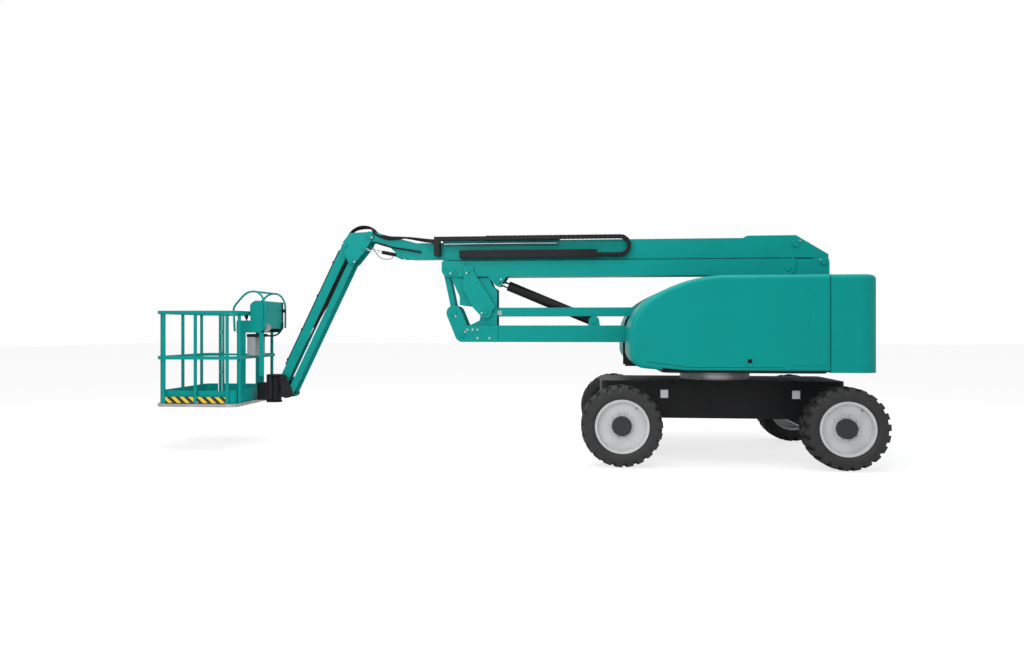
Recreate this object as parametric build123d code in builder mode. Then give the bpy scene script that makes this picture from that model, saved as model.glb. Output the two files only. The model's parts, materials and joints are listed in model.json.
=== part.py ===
from build123d import *
import os
from math import atan2, cos, degrees, hypot, radians, sin

os.makedirs("parts", exist_ok=True)

# Articulating boom lift, millimetres, parked with its boom stowed.
# +X points to the counterweight, -X to the platform, +Z up, the near side is -Y.
# The origin is on the ground, in the middle of the stowed machine.

# Overall lengths, from the slew axis
TAIL_REACH = 1445.0
PLATFORM_REACH = 6450.0

# Shared clearances
PIN_GAP = 0.3
SEAT_GAP = 0.3
RUN_GAP = 5.0

# Wheels
WHEELBASE = 2230.0
TRACK = 2000.0
TYRE_DIAMETER = 840.0
SLEW_X = (PLATFORM_REACH - (WHEELBASE + TYRE_DIAMETER) / 2) / 2
TYRE_WIDTH = 310.0
TYRE_SHOULDER = 38.0
SIDEWALL_BULGE = 6.0
RIM_DIAMETER = 555.0
RIM_WIDTH = 250.0
RIM_WALL = 9.0
RIM_LIP = 16.0
RIM_DISC = 14.0
RIM_DISC_INSET = 62.0
HUB_RADIUS = 98.0
HUB_LENGTH = 112.0
HUB_INBOARD = 35.0
LUG_CIRCLE = 130.0
LUG_RADIUS = 13.0
LUG_HEIGHT = 20.0
LUG_COUNT = 10
AXLE_HEIGHT = TYRE_DIAMETER / 2

# Axles and steering
AXLE_DEPTH = 150.0
AXLE_WIDTH = 180.0
AXLE_WALL = 12.0
SPINDLE_RADIUS = 40.0
SPINDLE_END = 60.0
GEARBOX_RADIUS = 120.0
KINGPIN_Y = 790.0
KINGPIN_RADIUS = 26.0
KNUCKLE_RADIUS = 46.0
FORK_PLATE = 26.0
FORK_GAP = 170.0
FORK_REACH = 100.0
STEER_ARM = 190.0
STEER_ARM_THICK = 22.0
STEER_ARM_WIDTH = 56.0
STEER_ARM_DROP = 39.0
TIE_PIN_RADIUS = 12.0
TIE_ROD_RADIUS = 16.0
TIE_ROD_DROP = 90.0

# Chassis
CHASSIS_LENGTH = 2610.0
CHASSIS_WIDTH = 940.0
CHASSIS_BOTTOM = 440.0
CHASSIS_TOP = 850.0
CHASSIS_WALL = 14.0
CHASSIS_CORNER = 60.0
TIE_DOWN_RADIUS = 22.0
TIE_LUG_THICK = 24.0
TIE_LUG_RADIUS = 52.0
TIE_LUG_REACH = 40.0
TIE_LUG_HEIGHT = 560.0
TIE_LUG_Y = 330.0
BEARING_RADIUS = 390.0
BEARING_BORE = 240.0
BEARING_SPLIT = 910.0
BEARING_STEP = 22.0

# Turntable, covers and counterweight
DECK_BOTTOM = 970.0
DECK_THICK = 26.0
DECK_TOP = DECK_BOTTOM + DECK_THICK
DECK_HALF_WIDTH = 1060.0
DECK_FRONT = 700.0
DECK_CORNER = 120.0
COVER_HALF_WIDTH = 1100.0
COVER_FRONT = 1034.0
COVER_BOTTOM = 976.0
COVER_TOP = 1970.0
COVER_REAR = 948.0
COVER_WALL = 8.0
COVER_EDGE = 50.0
COVER_KINK = -480.0
COVER_CREST = -60.0
COVER_BROW = 1350.0
COVER_NOSE_RADIUS = 470.0
COVER_TOE = 1030.0
COVER_TOE_RADIUS = 160.0
COVER_KINK_RADIUS = 800.0
COVER_INNER_Y = 232.0
BULKHEAD_Y = 205.0
BULKHEAD_THICK = 10.0
BULKHEAD_TOP = 1905.0
HINGE_RADIUS = 11.0
HINGE_IN = 16.0
HINGE_DROP = 26.0
HINGE_LUG = 60.0
HINGE_PLACES = (80.0, 450.0, 820.0)
WEIGHT_FRONT = 956.0
WEIGHT_BOTTOM = 980.0
WEIGHT_CORNER = 190.0
WEIGHT_EDGE = COVER_EDGE
WEIGHT_SLOT_HALF = 200.0
WEIGHT_SLOT_FLOOR = 1235.0
WEIGHT_BACK_WALL = 110.0
ENGINE_SIZE = (900.0, 560.0, 620.0)
ENGINE_PLACE = (-130.0, 640.0)
TANK_SIZE = (1050.0, 420.0, 560.0)
TANK_PLACE = (-60.0, -600.0)

# Pins of the folding linkage, as (x from the slew axis, height)
RISER_LENGTH = 3833.0
RISER_BASE = (915.0, 1355.0)
MID_PIN = (RISER_BASE[0] - RISER_LENGTH, RISER_BASE[1])
LINK_OFFSET = (272.0, 263.0)
LINK_BASE = (RISER_BASE[0] + LINK_OFFSET[0], RISER_BASE[1] + LINK_OFFSET[1])
LINK_MID_PIN = (MID_PIN[0] + LINK_OFFSET[0], MID_PIN[1] + LINK_OFFSET[1])
KNUCKLE_OFFSET = (-121.0, 755.0)
TOP_PIN = (MID_PIN[0] + KNUCKLE_OFFSET[0], MID_PIN[1] + KNUCKLE_OFFSET[1])
UPPER_PIN = (TOP_PIN[0] + RISER_LENGTH, TOP_PIN[1])
UPPER_FLOOR_SETBACK = 95.0
UPPER_OFFSET = (-61.0, 73.0)
UPPER_LINK_MID_PIN = (TOP_PIN[0] + UPPER_OFFSET[0], TOP_PIN[1] + UPPER_OFFSET[1])
UPPER_LINK_PIN = (UPPER_PIN[0] + UPPER_OFFSET[0], UPPER_PIN[1] + UPPER_OFFSET[1])
TIMING_EAR_OFFSET = (-103.0, 252.0)
TIMING_EAR = (MID_PIN[0] + TIMING_EAR_OFFSET[0], MID_PIN[1] + TIMING_EAR_OFFSET[1])
TIMING_TOP_OFFSET = (-95.0, 30.0)
TIMING_TOP = (TOP_PIN[0] + TIMING_TOP_OFFSET[0], TOP_PIN[1] + TIMING_TOP_OFFSET[1])
STAY_TOP = (TOP_PIN[0] + 194.0, TOP_PIN[1] - 5.0)
RISER_CYL_BASE = (MID_PIN[0] + 1534.0, MID_PIN[1] + 153.0)
RISER_CYL_EYE = (TOP_PIN[0] + 538.0, TOP_PIN[1] - 135.0)
PIN_RADIUS = 24.0
SMALL_PIN_RADIUS = 14.0
PIN_HEAD = 7.0

# Sections of the folding linkage
BEAM_HALF = 142.0
BEAM_WALL = 10.0
BEAM_INNER = BEAM_HALF - BEAM_WALL
LOWER_BOTTOM = 1266.0
LOWER_TOP = 1460.0
UPPER_BOTTOM = 2031.0
UPPER_TOP = 2216.0
CHEEK_THICK = 18.0
CHEEK_OUTER = BEAM_INNER - 7.0
CHEEK_INNER = CHEEK_OUTER - CHEEK_THICK
DOUBLER = 8.0
FORK_OUTER = BEAM_HALF + DOUBLER
FORK_ROOT = MID_PIN[0] + 418.0
EAR_RADIUS = 88.0
RISER_END_RADIUS = 86.0
STAY_THICK = 12.0
STAY_INNER = FORK_OUTER + RUN_GAP
STAY_OUTER = STAY_INNER + STAY_THICK
RAIL_INNER = 70.0
RAIL_OUTER = 95.0
RAIL_DEPTH = 102.0
RAIL_TIES = (-700.0, 350.0)
RAIL_TIE_RADIUS = 26.0
TIMING_INNER = 78.0
TIMING_OUTER = 98.0
TIMING_DEPTH = 60.0
UPPER_LINK_HALF = 30.0
UPPER_LINK_DEPTH = 50.0
TOWER_INNER = 160.0
TOWER_THICK = 26.0
TOWER_OUTER = TOWER_INNER + TOWER_THICK
SLEEVE_RADIUS = 38.0
RISER_CYL_RADIUS = 58.0
RISER_ROD_RADIUS = 36.0
RISER_CYL_EYE_HALF = 44.0
RISER_EAR_RADIUS = 62.0

# Main boom and fly boom
BOOM_HALF = 100.0
BOOM_BOTTOM = 2227.0
BOOM_DEPTH = 230.0
BOOM_TOP = BOOM_BOTTOM + BOOM_DEPTH
BOOM_WALL = 6.0
BOOM_FRONT = -3160.0
BOOM_PIVOT = (1184.0, 2174.0)
HEEL_TOP = 2483.0
HEEL_FRONT = 350.0
HEEL_CHAMFER = 890.0
HEEL_FLOOR_END = 600.0
HEEL_DOUBLER = 10.0
HEEL_RADIUS = 64.0
LIFT_CYL_BASE = (800.0, 1760.0)
LIFT_CYL_EYE = (885.0, 2389.0)
LIFT_CYL_RADIUS = 44.0
LIFT_ROD_RADIUS = 27.0
FLY_HALF = 84.0
FLY_BOTTOM = 2247.0
FLY_DEPTH = 190.0
FLY_TOP = FLY_BOTTOM + FLY_DEPTH
FLY_WALL = 6.0
FLY_REAR = 250.0
PAD_LENGTH = 90.0
PAD_WIDTH = 60.0
NOSE_START = -3540.0
NOSE_PLATE = 12.0
NOSE_PIVOT = (-4051.0, 2525.0)
LEVEL_CYL_BASE = (-3690.0, 2296.0)
LEVEL_CYL_EYE = (-4126.0, 2384.0)
LEVEL_CYL_RADIUS = 22.0
LEVEL_ROD_RADIUS = 13.0
TELESCOPE_STROKE = 1450.0

# Hose chain and its trays, on the near side of the boom
TRAY_START = BOOM_HALF
TRAY_OUTER = 190.0
TRAY_WALL = 3.0
CHAIN_INNER = 108.0
CHAIN_OUTER = 182.0
CHAIN_THICK = 44.0
CHAIN_RADIUS = 103.0
CHAIN_CENTRE = (-1087.0, 2382.0)
CHAIN_LOWER_RUN = 1100.0
CHAIN_UPPER_RUN = 1550.0
LOWER_TRAY_FRONT = -2950.0
LOWER_TRAY_REAR = -1350.0
UPPER_TRAY_REAR = -1777.0
CARRIER_FRONT = -3250.0
CARRIER_REAR = -3185.0

# Jib and its bracket
JIB_LENGTH = 1767.0
JIB_ANGLE = -115.84
JIB_TOP = (-4338.0, 2418.0)
JIB_LINK_TOP = (-4260.0, 2231.0)
JIB_LINK_OFFSET = (JIB_LINK_TOP[0] - JIB_TOP[0], JIB_LINK_TOP[1] - JIB_TOP[1])
JIB_DEPTH = 106.0
JIB_INNER = 52.0
JIB_OUTER = 62.0
JIB_WEB = 10.0
JIB_LINK_INNER = 74.0
JIB_LINK_OUTER = 94.0
JIB_LINK_DEPTH = 72.0
BRACKET_INNER = 101.0
BRACKET_OUTER = 115.0
JIB_PIN_RADIUS = 20.0
JIB_CYL_LEVER = 157.0
JIB_CYL_ANGLE = -75.0
JIB_CYL_REACH = 1439.0
JIB_CYL_RADIUS = 32.0
JIB_WINDOW_START = 1000.0
JIB_WINDOW_HALF = JIB_CYL_RADIUS + 2 * RUN_GAP
JIB_WINDOW_STOP = JIB_CYL_REACH + 3 * SLEEVE_RADIUS
JIB_ROD_RADIUS = 20.0
JIB_LUG_INNER = 38.0
JIB_LUG_OUTER = 48.0

# Rotator and platform
ROTATOR_X = -5235.0
ROTATOR_RADIUS = 60.0
ROTATOR_BOTTOM = 556.0
ROTATOR_TOP = 840.0
ROTATOR_SHAFT = 28.0
SUPPORT_PLATE = 22.0
SUPPORT_HALF = 68.0
SUPPORT_NEAR = 76.0
PLATFORM_REAR = -5470.0
PLATFORM_FRONT = -PLATFORM_REACH
PLATFORM_HALF = 600.0
PLATFORM_FLOOR = 520.0
PLATFORM_TOP = 1630.0
RAIL_RADIUS = 19.0
RAIL_CORNER = 110.0
MID_RAIL = 1085.0
TOE_HEIGHT = 150.0
TOE_THICK = 6.0
FLOOR_THICK = 36.0
GATE_WIDTH = 520.0
GATE_GAP = 8.0
GATE_CENTRE = -5960.0
GATE_RADIUS = 15.0
GATE_BAR_RADIUS = 13.0
CONSOLE_Y = -160.0


def side(y=0.0):
    """Upright plane along the machine at this y: local x from the slew axis, local y up, facing -Y."""
    return Plane(origin=(SLEW_X, y, 0), x_dir=(1, 0, 0), z_dir=(0, -1, 0))


def across(x):
    """Upright plane across the machine, this far from the slew axis: local x along +Y, local y up."""
    return Plane(origin=(SLEW_X + x, 0, 0), x_dir=(0, 1, 0), z_dir=(1, 0, 0))


def level(z):
    """Level plane at this height, its origin on the slew axis."""
    return Plane(origin=(SLEW_X, 0, z))


def polar(start, length, angle):
    """Point at this distance and angle, in degrees, from a start point in the side view."""
    return (start[0] + length * cos(radians(angle)), start[1] + length * sin(radians(angle)))


def distance(a, b):
    """Distance between two points of the side view."""
    return hypot(b[0] - a[0], b[1] - a[1])


def heading(a, b):
    """Angle in degrees of the line from a to b in the side view."""
    return degrees(atan2(b[1] - a[1], b[0] - a[0]))


def between(a, b, share=0.5):
    """Point part of the way from a to b in the side view."""
    return (a[0] + (b[0] - a[0]) * share, a[1] + (b[1] - a[1]) * share)


def bar(at, radius, y_low, y_high, mode=Mode.ADD):
    """Round bar across the machine, or the hole for one, at a point of the side view."""
    with BuildSketch(side(y_high)) as section:
        with Locations(at):
            Circle(radius)
    extrude(section.sketch, amount=y_high - y_low, mode=mode)


def pin(at, radius, reach):
    """Pin across the whole machine with a flat head at each end."""
    bar(at, radius, -reach, reach)
    for end in (-reach - PIN_HEAD, reach):
        bar(at, radius + PIN_HEAD, end, end + PIN_HEAD)


def stubs(at, radius, inner, outer):
    """Two short pins, one each side of the middle, with a head outside."""
    for low, high, head in ((-outer, -inner, -outer - PIN_HEAD), (inner, outer, outer)):
        bar(at, radius, low, high)
        bar(at, radius + PIN_HEAD, head, head + PIN_HEAD)


def eye_hole(at, radius, reach):
    """Hole for a pin through everything between -reach and reach."""
    bar(at, radius + PIN_GAP, -reach, reach, mode=Mode.SUBTRACT)


def strap(start, end, depth, y_low, y_high, mode=Mode.ADD):
    """Flat bar with round ends between two pins."""
    with BuildSketch(side(y_high)) as section:
        with Locations(between(start, end)):
            SlotCenterToCenter(distance(start, end), depth, rotation=heading(start, end))
    extrude(section.sketch, amount=y_high - y_low, mode=mode)


def hull_plate(circles, y_low, y_high, mode=Mode.ADD):
    """Plate stretched round several circles, each given as (point, radius)."""
    with BuildSketch(side(y_high)) as section:
        for centre, radius in circles:
            with Locations(centre):
                Circle(radius)
        make_hull()
    extrude(section.sketch, amount=y_high - y_low, mode=mode)


def outline_plate(points, y_low, y_high, mode=Mode.ADD):
    """Plate with straight edges, from its corners in the side view."""
    with BuildSketch(side(y_high)) as section:
        Polygon(*points, align=None)
    extrude(section.sketch, amount=y_high - y_low, mode=mode)


def block(x_low, x_high, y_low, y_high, z_low, z_high, mode=Mode.ADD):
    """Square block between two x from the slew axis, two y and two heights."""
    with BuildSketch(level(z_low)) as section:
        with Locations(((x_low + x_high) / 2, (y_low + y_high) / 2)):
            Rectangle(x_high - x_low, y_high - y_low)
    extrude(section.sketch, amount=z_high - z_low, mode=mode)


def post(x, y, radius, z_low, z_high, mode=Mode.ADD):
    """Upright round bar, or its hole, between two heights."""
    with BuildSketch(level(z_low)) as section:
        with Locations((x, y)):
            Circle(radius)
    extrude(section.sketch, amount=z_high - z_low, mode=mode)


def rod_along(start, end, radius, y=0.0, mode=Mode.ADD):
    """Round rod between two points of the side view, at this y."""
    axis_plane = Plane(
        origin=(SLEW_X + start[0], y, start[1]),
        x_dir=(0, 1, 0),
        z_dir=(end[0] - start[0], 0, end[1] - start[1]),
    )
    with BuildSketch(axis_plane) as section:
        Circle(radius)
    extrude(section.sketch, amount=distance(start, end), mode=mode)


def brow_curve(front_x, crest_x, top_z, nose_radius):
    """Two tangent arcs from the upright front edge at the brow's height to the level top."""
    reach = crest_x - front_x
    rise = top_z - COVER_BROW
    crest_radius = (reach**2 + rise**2 - 2 * reach * nose_radius) / (2 * (rise - nose_radius))
    nose_centre = (front_x + nose_radius, COVER_BROW)
    crest_centre = (crest_x, top_z - crest_radius)
    joint = polar(nose_centre, nose_radius, heading(crest_centre, nose_centre))
    nose_arc = TangentArc((front_x, COVER_BROW), joint, tangent=(0, 1))
    TangentArc(joint, (crest_x, top_z), tangent=nose_arc % 1)


def save(builder, name):
    """Label a finished piece and write it out."""
    builder.part.label = name
    export_step(builder.part, f"parts/{name}.step")


# Chassis: an upturned steel trough with rounded corners and four tie-down lugs

with BuildPart() as chassis_frame:
    with BuildSketch(level(CHASSIS_BOTTOM)):
        RectangleRounded(CHASSIS_LENGTH, CHASSIS_WIDTH, CHASSIS_CORNER)
    extrude(amount=CHASSIS_TOP - CHASSIS_BOTTOM)
    with BuildSketch(level(CHASSIS_BOTTOM)):
        RectangleRounded(
            CHASSIS_LENGTH - 2 * CHASSIS_WALL, CHASSIS_WIDTH - 2 * CHASSIS_WALL, CHASSIS_CORNER - CHASSIS_WALL
        )
    extrude(amount=CHASSIS_TOP - CHASSIS_BOTTOM - CHASSIS_WALL, mode=Mode.SUBTRACT)
    for end in (-1, 1):
        face_x = end * (CHASSIS_LENGTH / 2 - CHASSIS_WALL / 2)
        eye_x = end * (CHASSIS_LENGTH / 2 + TIE_LUG_REACH)
        for lug_y in (-TIE_LUG_Y, TIE_LUG_Y):
            lug_low = lug_y - TIE_LUG_THICK / 2
            lug_high = lug_y + TIE_LUG_THICK / 2
            strap((face_x, TIE_LUG_HEIGHT), (eye_x, TIE_LUG_HEIGHT), 2 * TIE_LUG_RADIUS, lug_low, lug_high)
            bar((eye_x, TIE_LUG_HEIGHT), TIE_DOWN_RADIUS, lug_low, lug_high, mode=Mode.SUBTRACT)
    inside = CHASSIS_LENGTH / 2 - CHASSIS_WALL
    block(
        -inside, inside, -TIE_LUG_Y - TIE_LUG_RADIUS, TIE_LUG_Y + TIE_LUG_RADIUS,
        CHASSIS_BOTTOM, CHASSIS_TOP - CHASSIS_WALL, mode=Mode.SUBTRACT,
    )
save(chassis_frame, "chassis_frame")

# Slew bearing: fixed ring with a wider foot, the turntable seats on its top

with BuildPart() as slew_bearing:
    with BuildSketch(level(CHASSIS_TOP)):
        Circle(BEARING_RADIUS)
        Circle(BEARING_BORE, mode=Mode.SUBTRACT)
    extrude(amount=BEARING_SPLIT - CHASSIS_TOP)
    with BuildSketch(level(BEARING_SPLIT)):
        Circle(BEARING_RADIUS - BEARING_STEP)
        Circle(BEARING_BORE, mode=Mode.SUBTRACT)
    extrude(amount=DECK_BOTTOM - SEAT_GAP - BEARING_SPLIT)
save(slew_bearing, "slew_bearing")

# Axles: hollow beams under the chassis

AXLE_TOP = CHASSIS_BOTTOM
AXLE_BOTTOM = AXLE_TOP - AXLE_DEPTH
AXLE_HALF_WIDTH = AXLE_WIDTH / 2
AXLE_END_Y = KINGPIN_Y - FORK_REACH
FIXED_AXLE_X = -WHEELBASE / 2
STEER_AXLE_X = WHEELBASE / 2
SPINDLE_TIP_Y = TRACK / 2 + SPINDLE_END


def axle_beam(x):
    """Hollow square beam from side to side."""
    block(x - AXLE_HALF_WIDTH, x + AXLE_HALF_WIDTH, -AXLE_END_Y, AXLE_END_Y, AXLE_BOTTOM, AXLE_TOP)
    block(
        x - AXLE_HALF_WIDTH + AXLE_WALL, x + AXLE_HALF_WIDTH - AXLE_WALL,
        -AXLE_END_Y + AXLE_WALL, AXLE_END_Y - AXLE_WALL,
        AXLE_BOTTOM + AXLE_WALL, AXLE_TOP - AXLE_WALL, mode=Mode.SUBTRACT,
    )


with BuildPart() as drive_axle:
    axle_beam(FIXED_AXLE_X)
    GEARBOX_END_Y = TRACK / 2 - RIM_WIDTH / 2
    block(
        FIXED_AXLE_X - AXLE_HALF_WIDTH, FIXED_AXLE_X + AXLE_HALF_WIDTH,
        -AXLE_END_Y, -AXLE_END_Y + AXLE_WALL, AXLE_TOP, AXLE_HEIGHT + GEARBOX_RADIUS,
    )
    bar((FIXED_AXLE_X, AXLE_HEIGHT), GEARBOX_RADIUS, -GEARBOX_END_Y, -AXLE_END_Y)
    bar((FIXED_AXLE_X, AXLE_HEIGHT), SPINDLE_RADIUS, -SPINDLE_TIP_Y, -GEARBOX_END_Y)
    mirror(about=Plane.XZ)
save(drive_axle, "drive_axle")

FORK_LOW = AXLE_HEIGHT - FORK_GAP / 2 - FORK_PLATE
FORK_HIGH = AXLE_HEIGHT + FORK_GAP / 2 + FORK_PLATE

with BuildPart() as steer_axle:
    axle_beam(STEER_AXLE_X)
    block(
        STEER_AXLE_X - AXLE_HALF_WIDTH, STEER_AXLE_X + AXLE_HALF_WIDTH,
        AXLE_END_Y - FORK_PLATE, AXLE_END_Y, FORK_LOW, FORK_HIGH,
    )
    for plate_low in (FORK_LOW, FORK_HIGH - FORK_PLATE):
        with BuildSketch(level(plate_low)) as fork_shape:
            with Locations((STEER_AXLE_X, KINGPIN_Y)):
                Circle(KNUCKLE_RADIUS)
            with Locations((STEER_AXLE_X - AXLE_HALF_WIDTH / 2, AXLE_END_Y - FORK_PLATE / 2)):
                Circle(FORK_PLATE / 2)
            with Locations((STEER_AXLE_X + AXLE_HALF_WIDTH / 2, AXLE_END_Y - FORK_PLATE / 2)):
                Circle(FORK_PLATE / 2)
            make_hull()
        extrude(amount=FORK_PLATE)
    post(STEER_AXLE_X, KINGPIN_Y, KINGPIN_RADIUS, FORK_LOW, FORK_HIGH)
    mirror(about=Plane.XZ)
save(steer_axle, "steer_axle")

# Steering knuckles: a sleeve on the kingpin, the wheel's spindle and the steering arm

ARM_TOP = AXLE_HEIGHT - STEER_ARM_DROP
ARM_BOTTOM = ARM_TOP - STEER_ARM_THICK
TIE_PIN_X = STEER_AXLE_X - STEER_ARM
for name, out in (("near", -1), ("far", 1)):
    with BuildPart() as steer_knuckle:
        sleeve_low = AXLE_HEIGHT - FORK_GAP / 2 + RUN_GAP
        sleeve_high = AXLE_HEIGHT + FORK_GAP / 2 - RUN_GAP
        post(STEER_AXLE_X, out * KINGPIN_Y, KNUCKLE_RADIUS, sleeve_low, sleeve_high)
        spindle_ends = sorted((out * KINGPIN_Y, out * SPINDLE_TIP_Y))
        bar((STEER_AXLE_X, AXLE_HEIGHT), SPINDLE_RADIUS, *spindle_ends)
        with BuildSketch(level(ARM_BOTTOM)):
            with Locations(((STEER_AXLE_X + TIE_PIN_X) / 2, out * KINGPIN_Y)):
                SlotCenterToCenter(STEER_ARM, STEER_ARM_WIDTH)
        extrude(amount=STEER_ARM_THICK)
        post(STEER_AXLE_X, out * KINGPIN_Y, KINGPIN_RADIUS + PIN_GAP, FORK_LOW, FORK_HIGH, mode=Mode.SUBTRACT)
        post(TIE_PIN_X, out * KINGPIN_Y, TIE_PIN_RADIUS + PIN_GAP, ARM_BOTTOM, ARM_TOP, mode=Mode.SUBTRACT)
    save(steer_knuckle, f"steer_knuckle_{name}")

TIE_ROD_HEIGHT = AXLE_HEIGHT - TIE_ROD_DROP
with BuildPart() as tie_rod:
    bar((TIE_PIN_X, TIE_ROD_HEIGHT), TIE_ROD_RADIUS, -KINGPIN_Y, KINGPIN_Y)
    for out in (-1, 1):
        post(TIE_PIN_X, out * KINGPIN_Y, STEER_ARM_WIDTH / 2, TIE_ROD_HEIGHT - TIE_ROD_RADIUS, ARM_BOTTOM - RUN_GAP)
        post(TIE_PIN_X, out * KINGPIN_Y, TIE_PIN_RADIUS, TIE_ROD_HEIGHT, ARM_TOP + TIE_PIN_RADIUS)
save(tie_rod, "tie_rod")

# Wheels: dished rim with its hub and lug nuts, and a solid tyre between the rim's lips

BEAD_RADIUS = RIM_DIAMETER / 2 - RIM_LIP
for axle_name, axle_x in (("front", FIXED_AXLE_X), ("rear", STEER_AXLE_X)):
    for side_name, out in (("near", -1), ("far", 1)):
        centre = (SLEW_X + axle_x, out * TRACK / 2, AXLE_HEIGHT)
        section_plane = Plane(origin=centre, x_dir=(1, 0, 0), z_dir=(0, 0, 1))
        spin_axis = Axis(centre, (0, 1, 0))
        lip_y = out * RIM_WIDTH / 2
        disc_outer = out * (RIM_WIDTH / 2 - RIM_DISC_INSET)
        disc_inner = disc_outer - out * RIM_DISC
        with BuildPart() as rim:
            with BuildSketch(section_plane):
                with Locations((BEAD_RADIUS - RIM_WALL / 2, 0)):
                    Rectangle(RIM_WALL, RIM_WIDTH)
                for edge in (-1, 1):
                    with Locations((BEAD_RADIUS + RIM_LIP / 2 - RIM_WALL / 2, edge * (RIM_WIDTH - RIM_WALL) / 2)):
                        Rectangle(RIM_LIP + RIM_WALL, RIM_WALL)
                with Locations(((BEAD_RADIUS + HUB_RADIUS) / 2 - RIM_WALL / 2, (disc_outer + disc_inner) / 2)):
                    Rectangle(BEAD_RADIUS - HUB_RADIUS, RIM_DISC)
                with Locations((HUB_RADIUS / 2, out * (HUB_LENGTH - HUB_INBOARD) / 2)):
                    Rectangle(HUB_RADIUS, HUB_LENGTH + HUB_INBOARD)
            revolve(axis=spin_axis)
            outer_face = Plane(
                origin=(centre[0], centre[1] + disc_outer, centre[2]), x_dir=(1, 0, 0), z_dir=(0, out, 0)
            )
            with BuildSketch(outer_face):
                with PolarLocations(LUG_CIRCLE, LUG_COUNT):
                    Circle(LUG_RADIUS)
            extrude(amount=LUG_HEIGHT)
            bore_ends = sorted((out * (TRACK / 2 - RIM_WIDTH), out * (SPINDLE_TIP_Y + PIN_GAP)))
            bar((axle_x, AXLE_HEIGHT), SPINDLE_RADIUS + PIN_GAP, *bore_ends, mode=Mode.SUBTRACT)
        save(rim, f"rim_{axle_name}_{side_name}")

        bead_half = RIM_WIDTH / 2 - RIM_WALL - SEAT_GAP
        lip_radius = RIM_DIAMETER / 2 + RIM_WALL
        tread_radius = TYRE_DIAMETER / 2
        wall_half = TYRE_WIDTH / 2
        with BuildPart() as tyre:
            with BuildSketch(section_plane):
                with BuildLine():
                    Polyline(
                        (lip_radius, -bead_half),
                        (BEAD_RADIUS + SEAT_GAP, -bead_half),
                        (BEAD_RADIUS + SEAT_GAP, bead_half),
                        (lip_radius, bead_half),
                    )
                    Line((lip_radius, bead_half), (lip_radius, wall_half - SIDEWALL_BULGE))
                    ThreePointArc(
                        (lip_radius, wall_half - SIDEWALL_BULGE),
                        ((lip_radius + tread_radius - TYRE_SHOULDER) / 2, wall_half),
                        (tread_radius - TYRE_SHOULDER, wall_half - SIDEWALL_BULGE),
                    )
                    Line(
                        (tread_radius - TYRE_SHOULDER, wall_half - SIDEWALL_BULGE),
                        (tread_radius, wall_half - SIDEWALL_BULGE - TYRE_SHOULDER),
                    )
                    Line(
                        (tread_radius, wall_half - SIDEWALL_BULGE - TYRE_SHOULDER),
                        (tread_radius, -wall_half + SIDEWALL_BULGE + TYRE_SHOULDER),
                    )
                    Line(
                        (tread_radius, -wall_half + SIDEWALL_BULGE + TYRE_SHOULDER),
                        (tread_radius - TYRE_SHOULDER, -wall_half + SIDEWALL_BULGE),
                    )
                    ThreePointArc(
                        (tread_radius - TYRE_SHOULDER, -wall_half + SIDEWALL_BULGE),
                        ((lip_radius + tread_radius - TYRE_SHOULDER) / 2, -wall_half),
                        (lip_radius, -wall_half + SIDEWALL_BULGE),
                    )
                    Line((lip_radius, -wall_half + SIDEWALL_BULGE), (lip_radius, -bead_half))
                make_face()
            revolve(axis=spin_axis)
        save(tyre, f"tyre_{axle_name}_{side_name}")

# Turntable: deck plate, two bulkheads and the hinge rods of the covers

HINGE_Y = COVER_INNER_Y + HINGE_IN
HINGE_Z = COVER_TOP - COVER_WALL - HINGE_DROP
HINGE_START = HINGE_PLACES[0] - HINGE_LUG
HINGE_STOP = HINGE_PLACES[-1] + HINGE_LUG

with BuildPart() as turntable_frame:
    with BuildSketch(level(DECK_BOTTOM)):
        with Locations(((WEIGHT_FRONT - DECK_FRONT) / 2, 0)):
            RectangleRounded(WEIGHT_FRONT + DECK_FRONT, 2 * DECK_HALF_WIDTH, DECK_CORNER)
    extrude(amount=DECK_THICK)
    with BuildSketch(side(-BULKHEAD_Y)):
        with BuildLine():
            Polyline(
                (-COVER_FRONT, COVER_BROW),
                (-COVER_FRONT, DECK_TOP),
                (COVER_REAR, DECK_TOP),
                (COVER_REAR, BULKHEAD_TOP),
                (COVER_CREST, BULKHEAD_TOP),
            )
            brow_curve(-COVER_FRONT, COVER_CREST, BULKHEAD_TOP, COVER_NOSE_RADIUS)
        make_face()
    extrude(amount=BULKHEAD_THICK)
    for place in HINGE_PLACES:
        block(
            place - HINGE_LUG / 2, place, -HINGE_Y - HINGE_RADIUS, -BULKHEAD_Y - BULKHEAD_THICK,
            BULKHEAD_TOP - HINGE_LUG, HINGE_Z - HINGE_RADIUS,
        )
        block(
            place - HINGE_LUG / 2, place, -HINGE_Y - HINGE_RADIUS, -HINGE_Y + HINGE_RADIUS,
            HINGE_Z - HINGE_RADIUS, HINGE_Z,
        )
    with BuildSketch(across(HINGE_START)):
        with Locations((-HINGE_Y, HINGE_Z)):
            Circle(HINGE_RADIUS)
    extrude(amount=HINGE_STOP - HINGE_START)
    mirror(about=Plane.XZ)
save(turntable_frame, "turntable_frame")

# Riser towers: two plates that carry the riser and its link, with their pins

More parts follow.
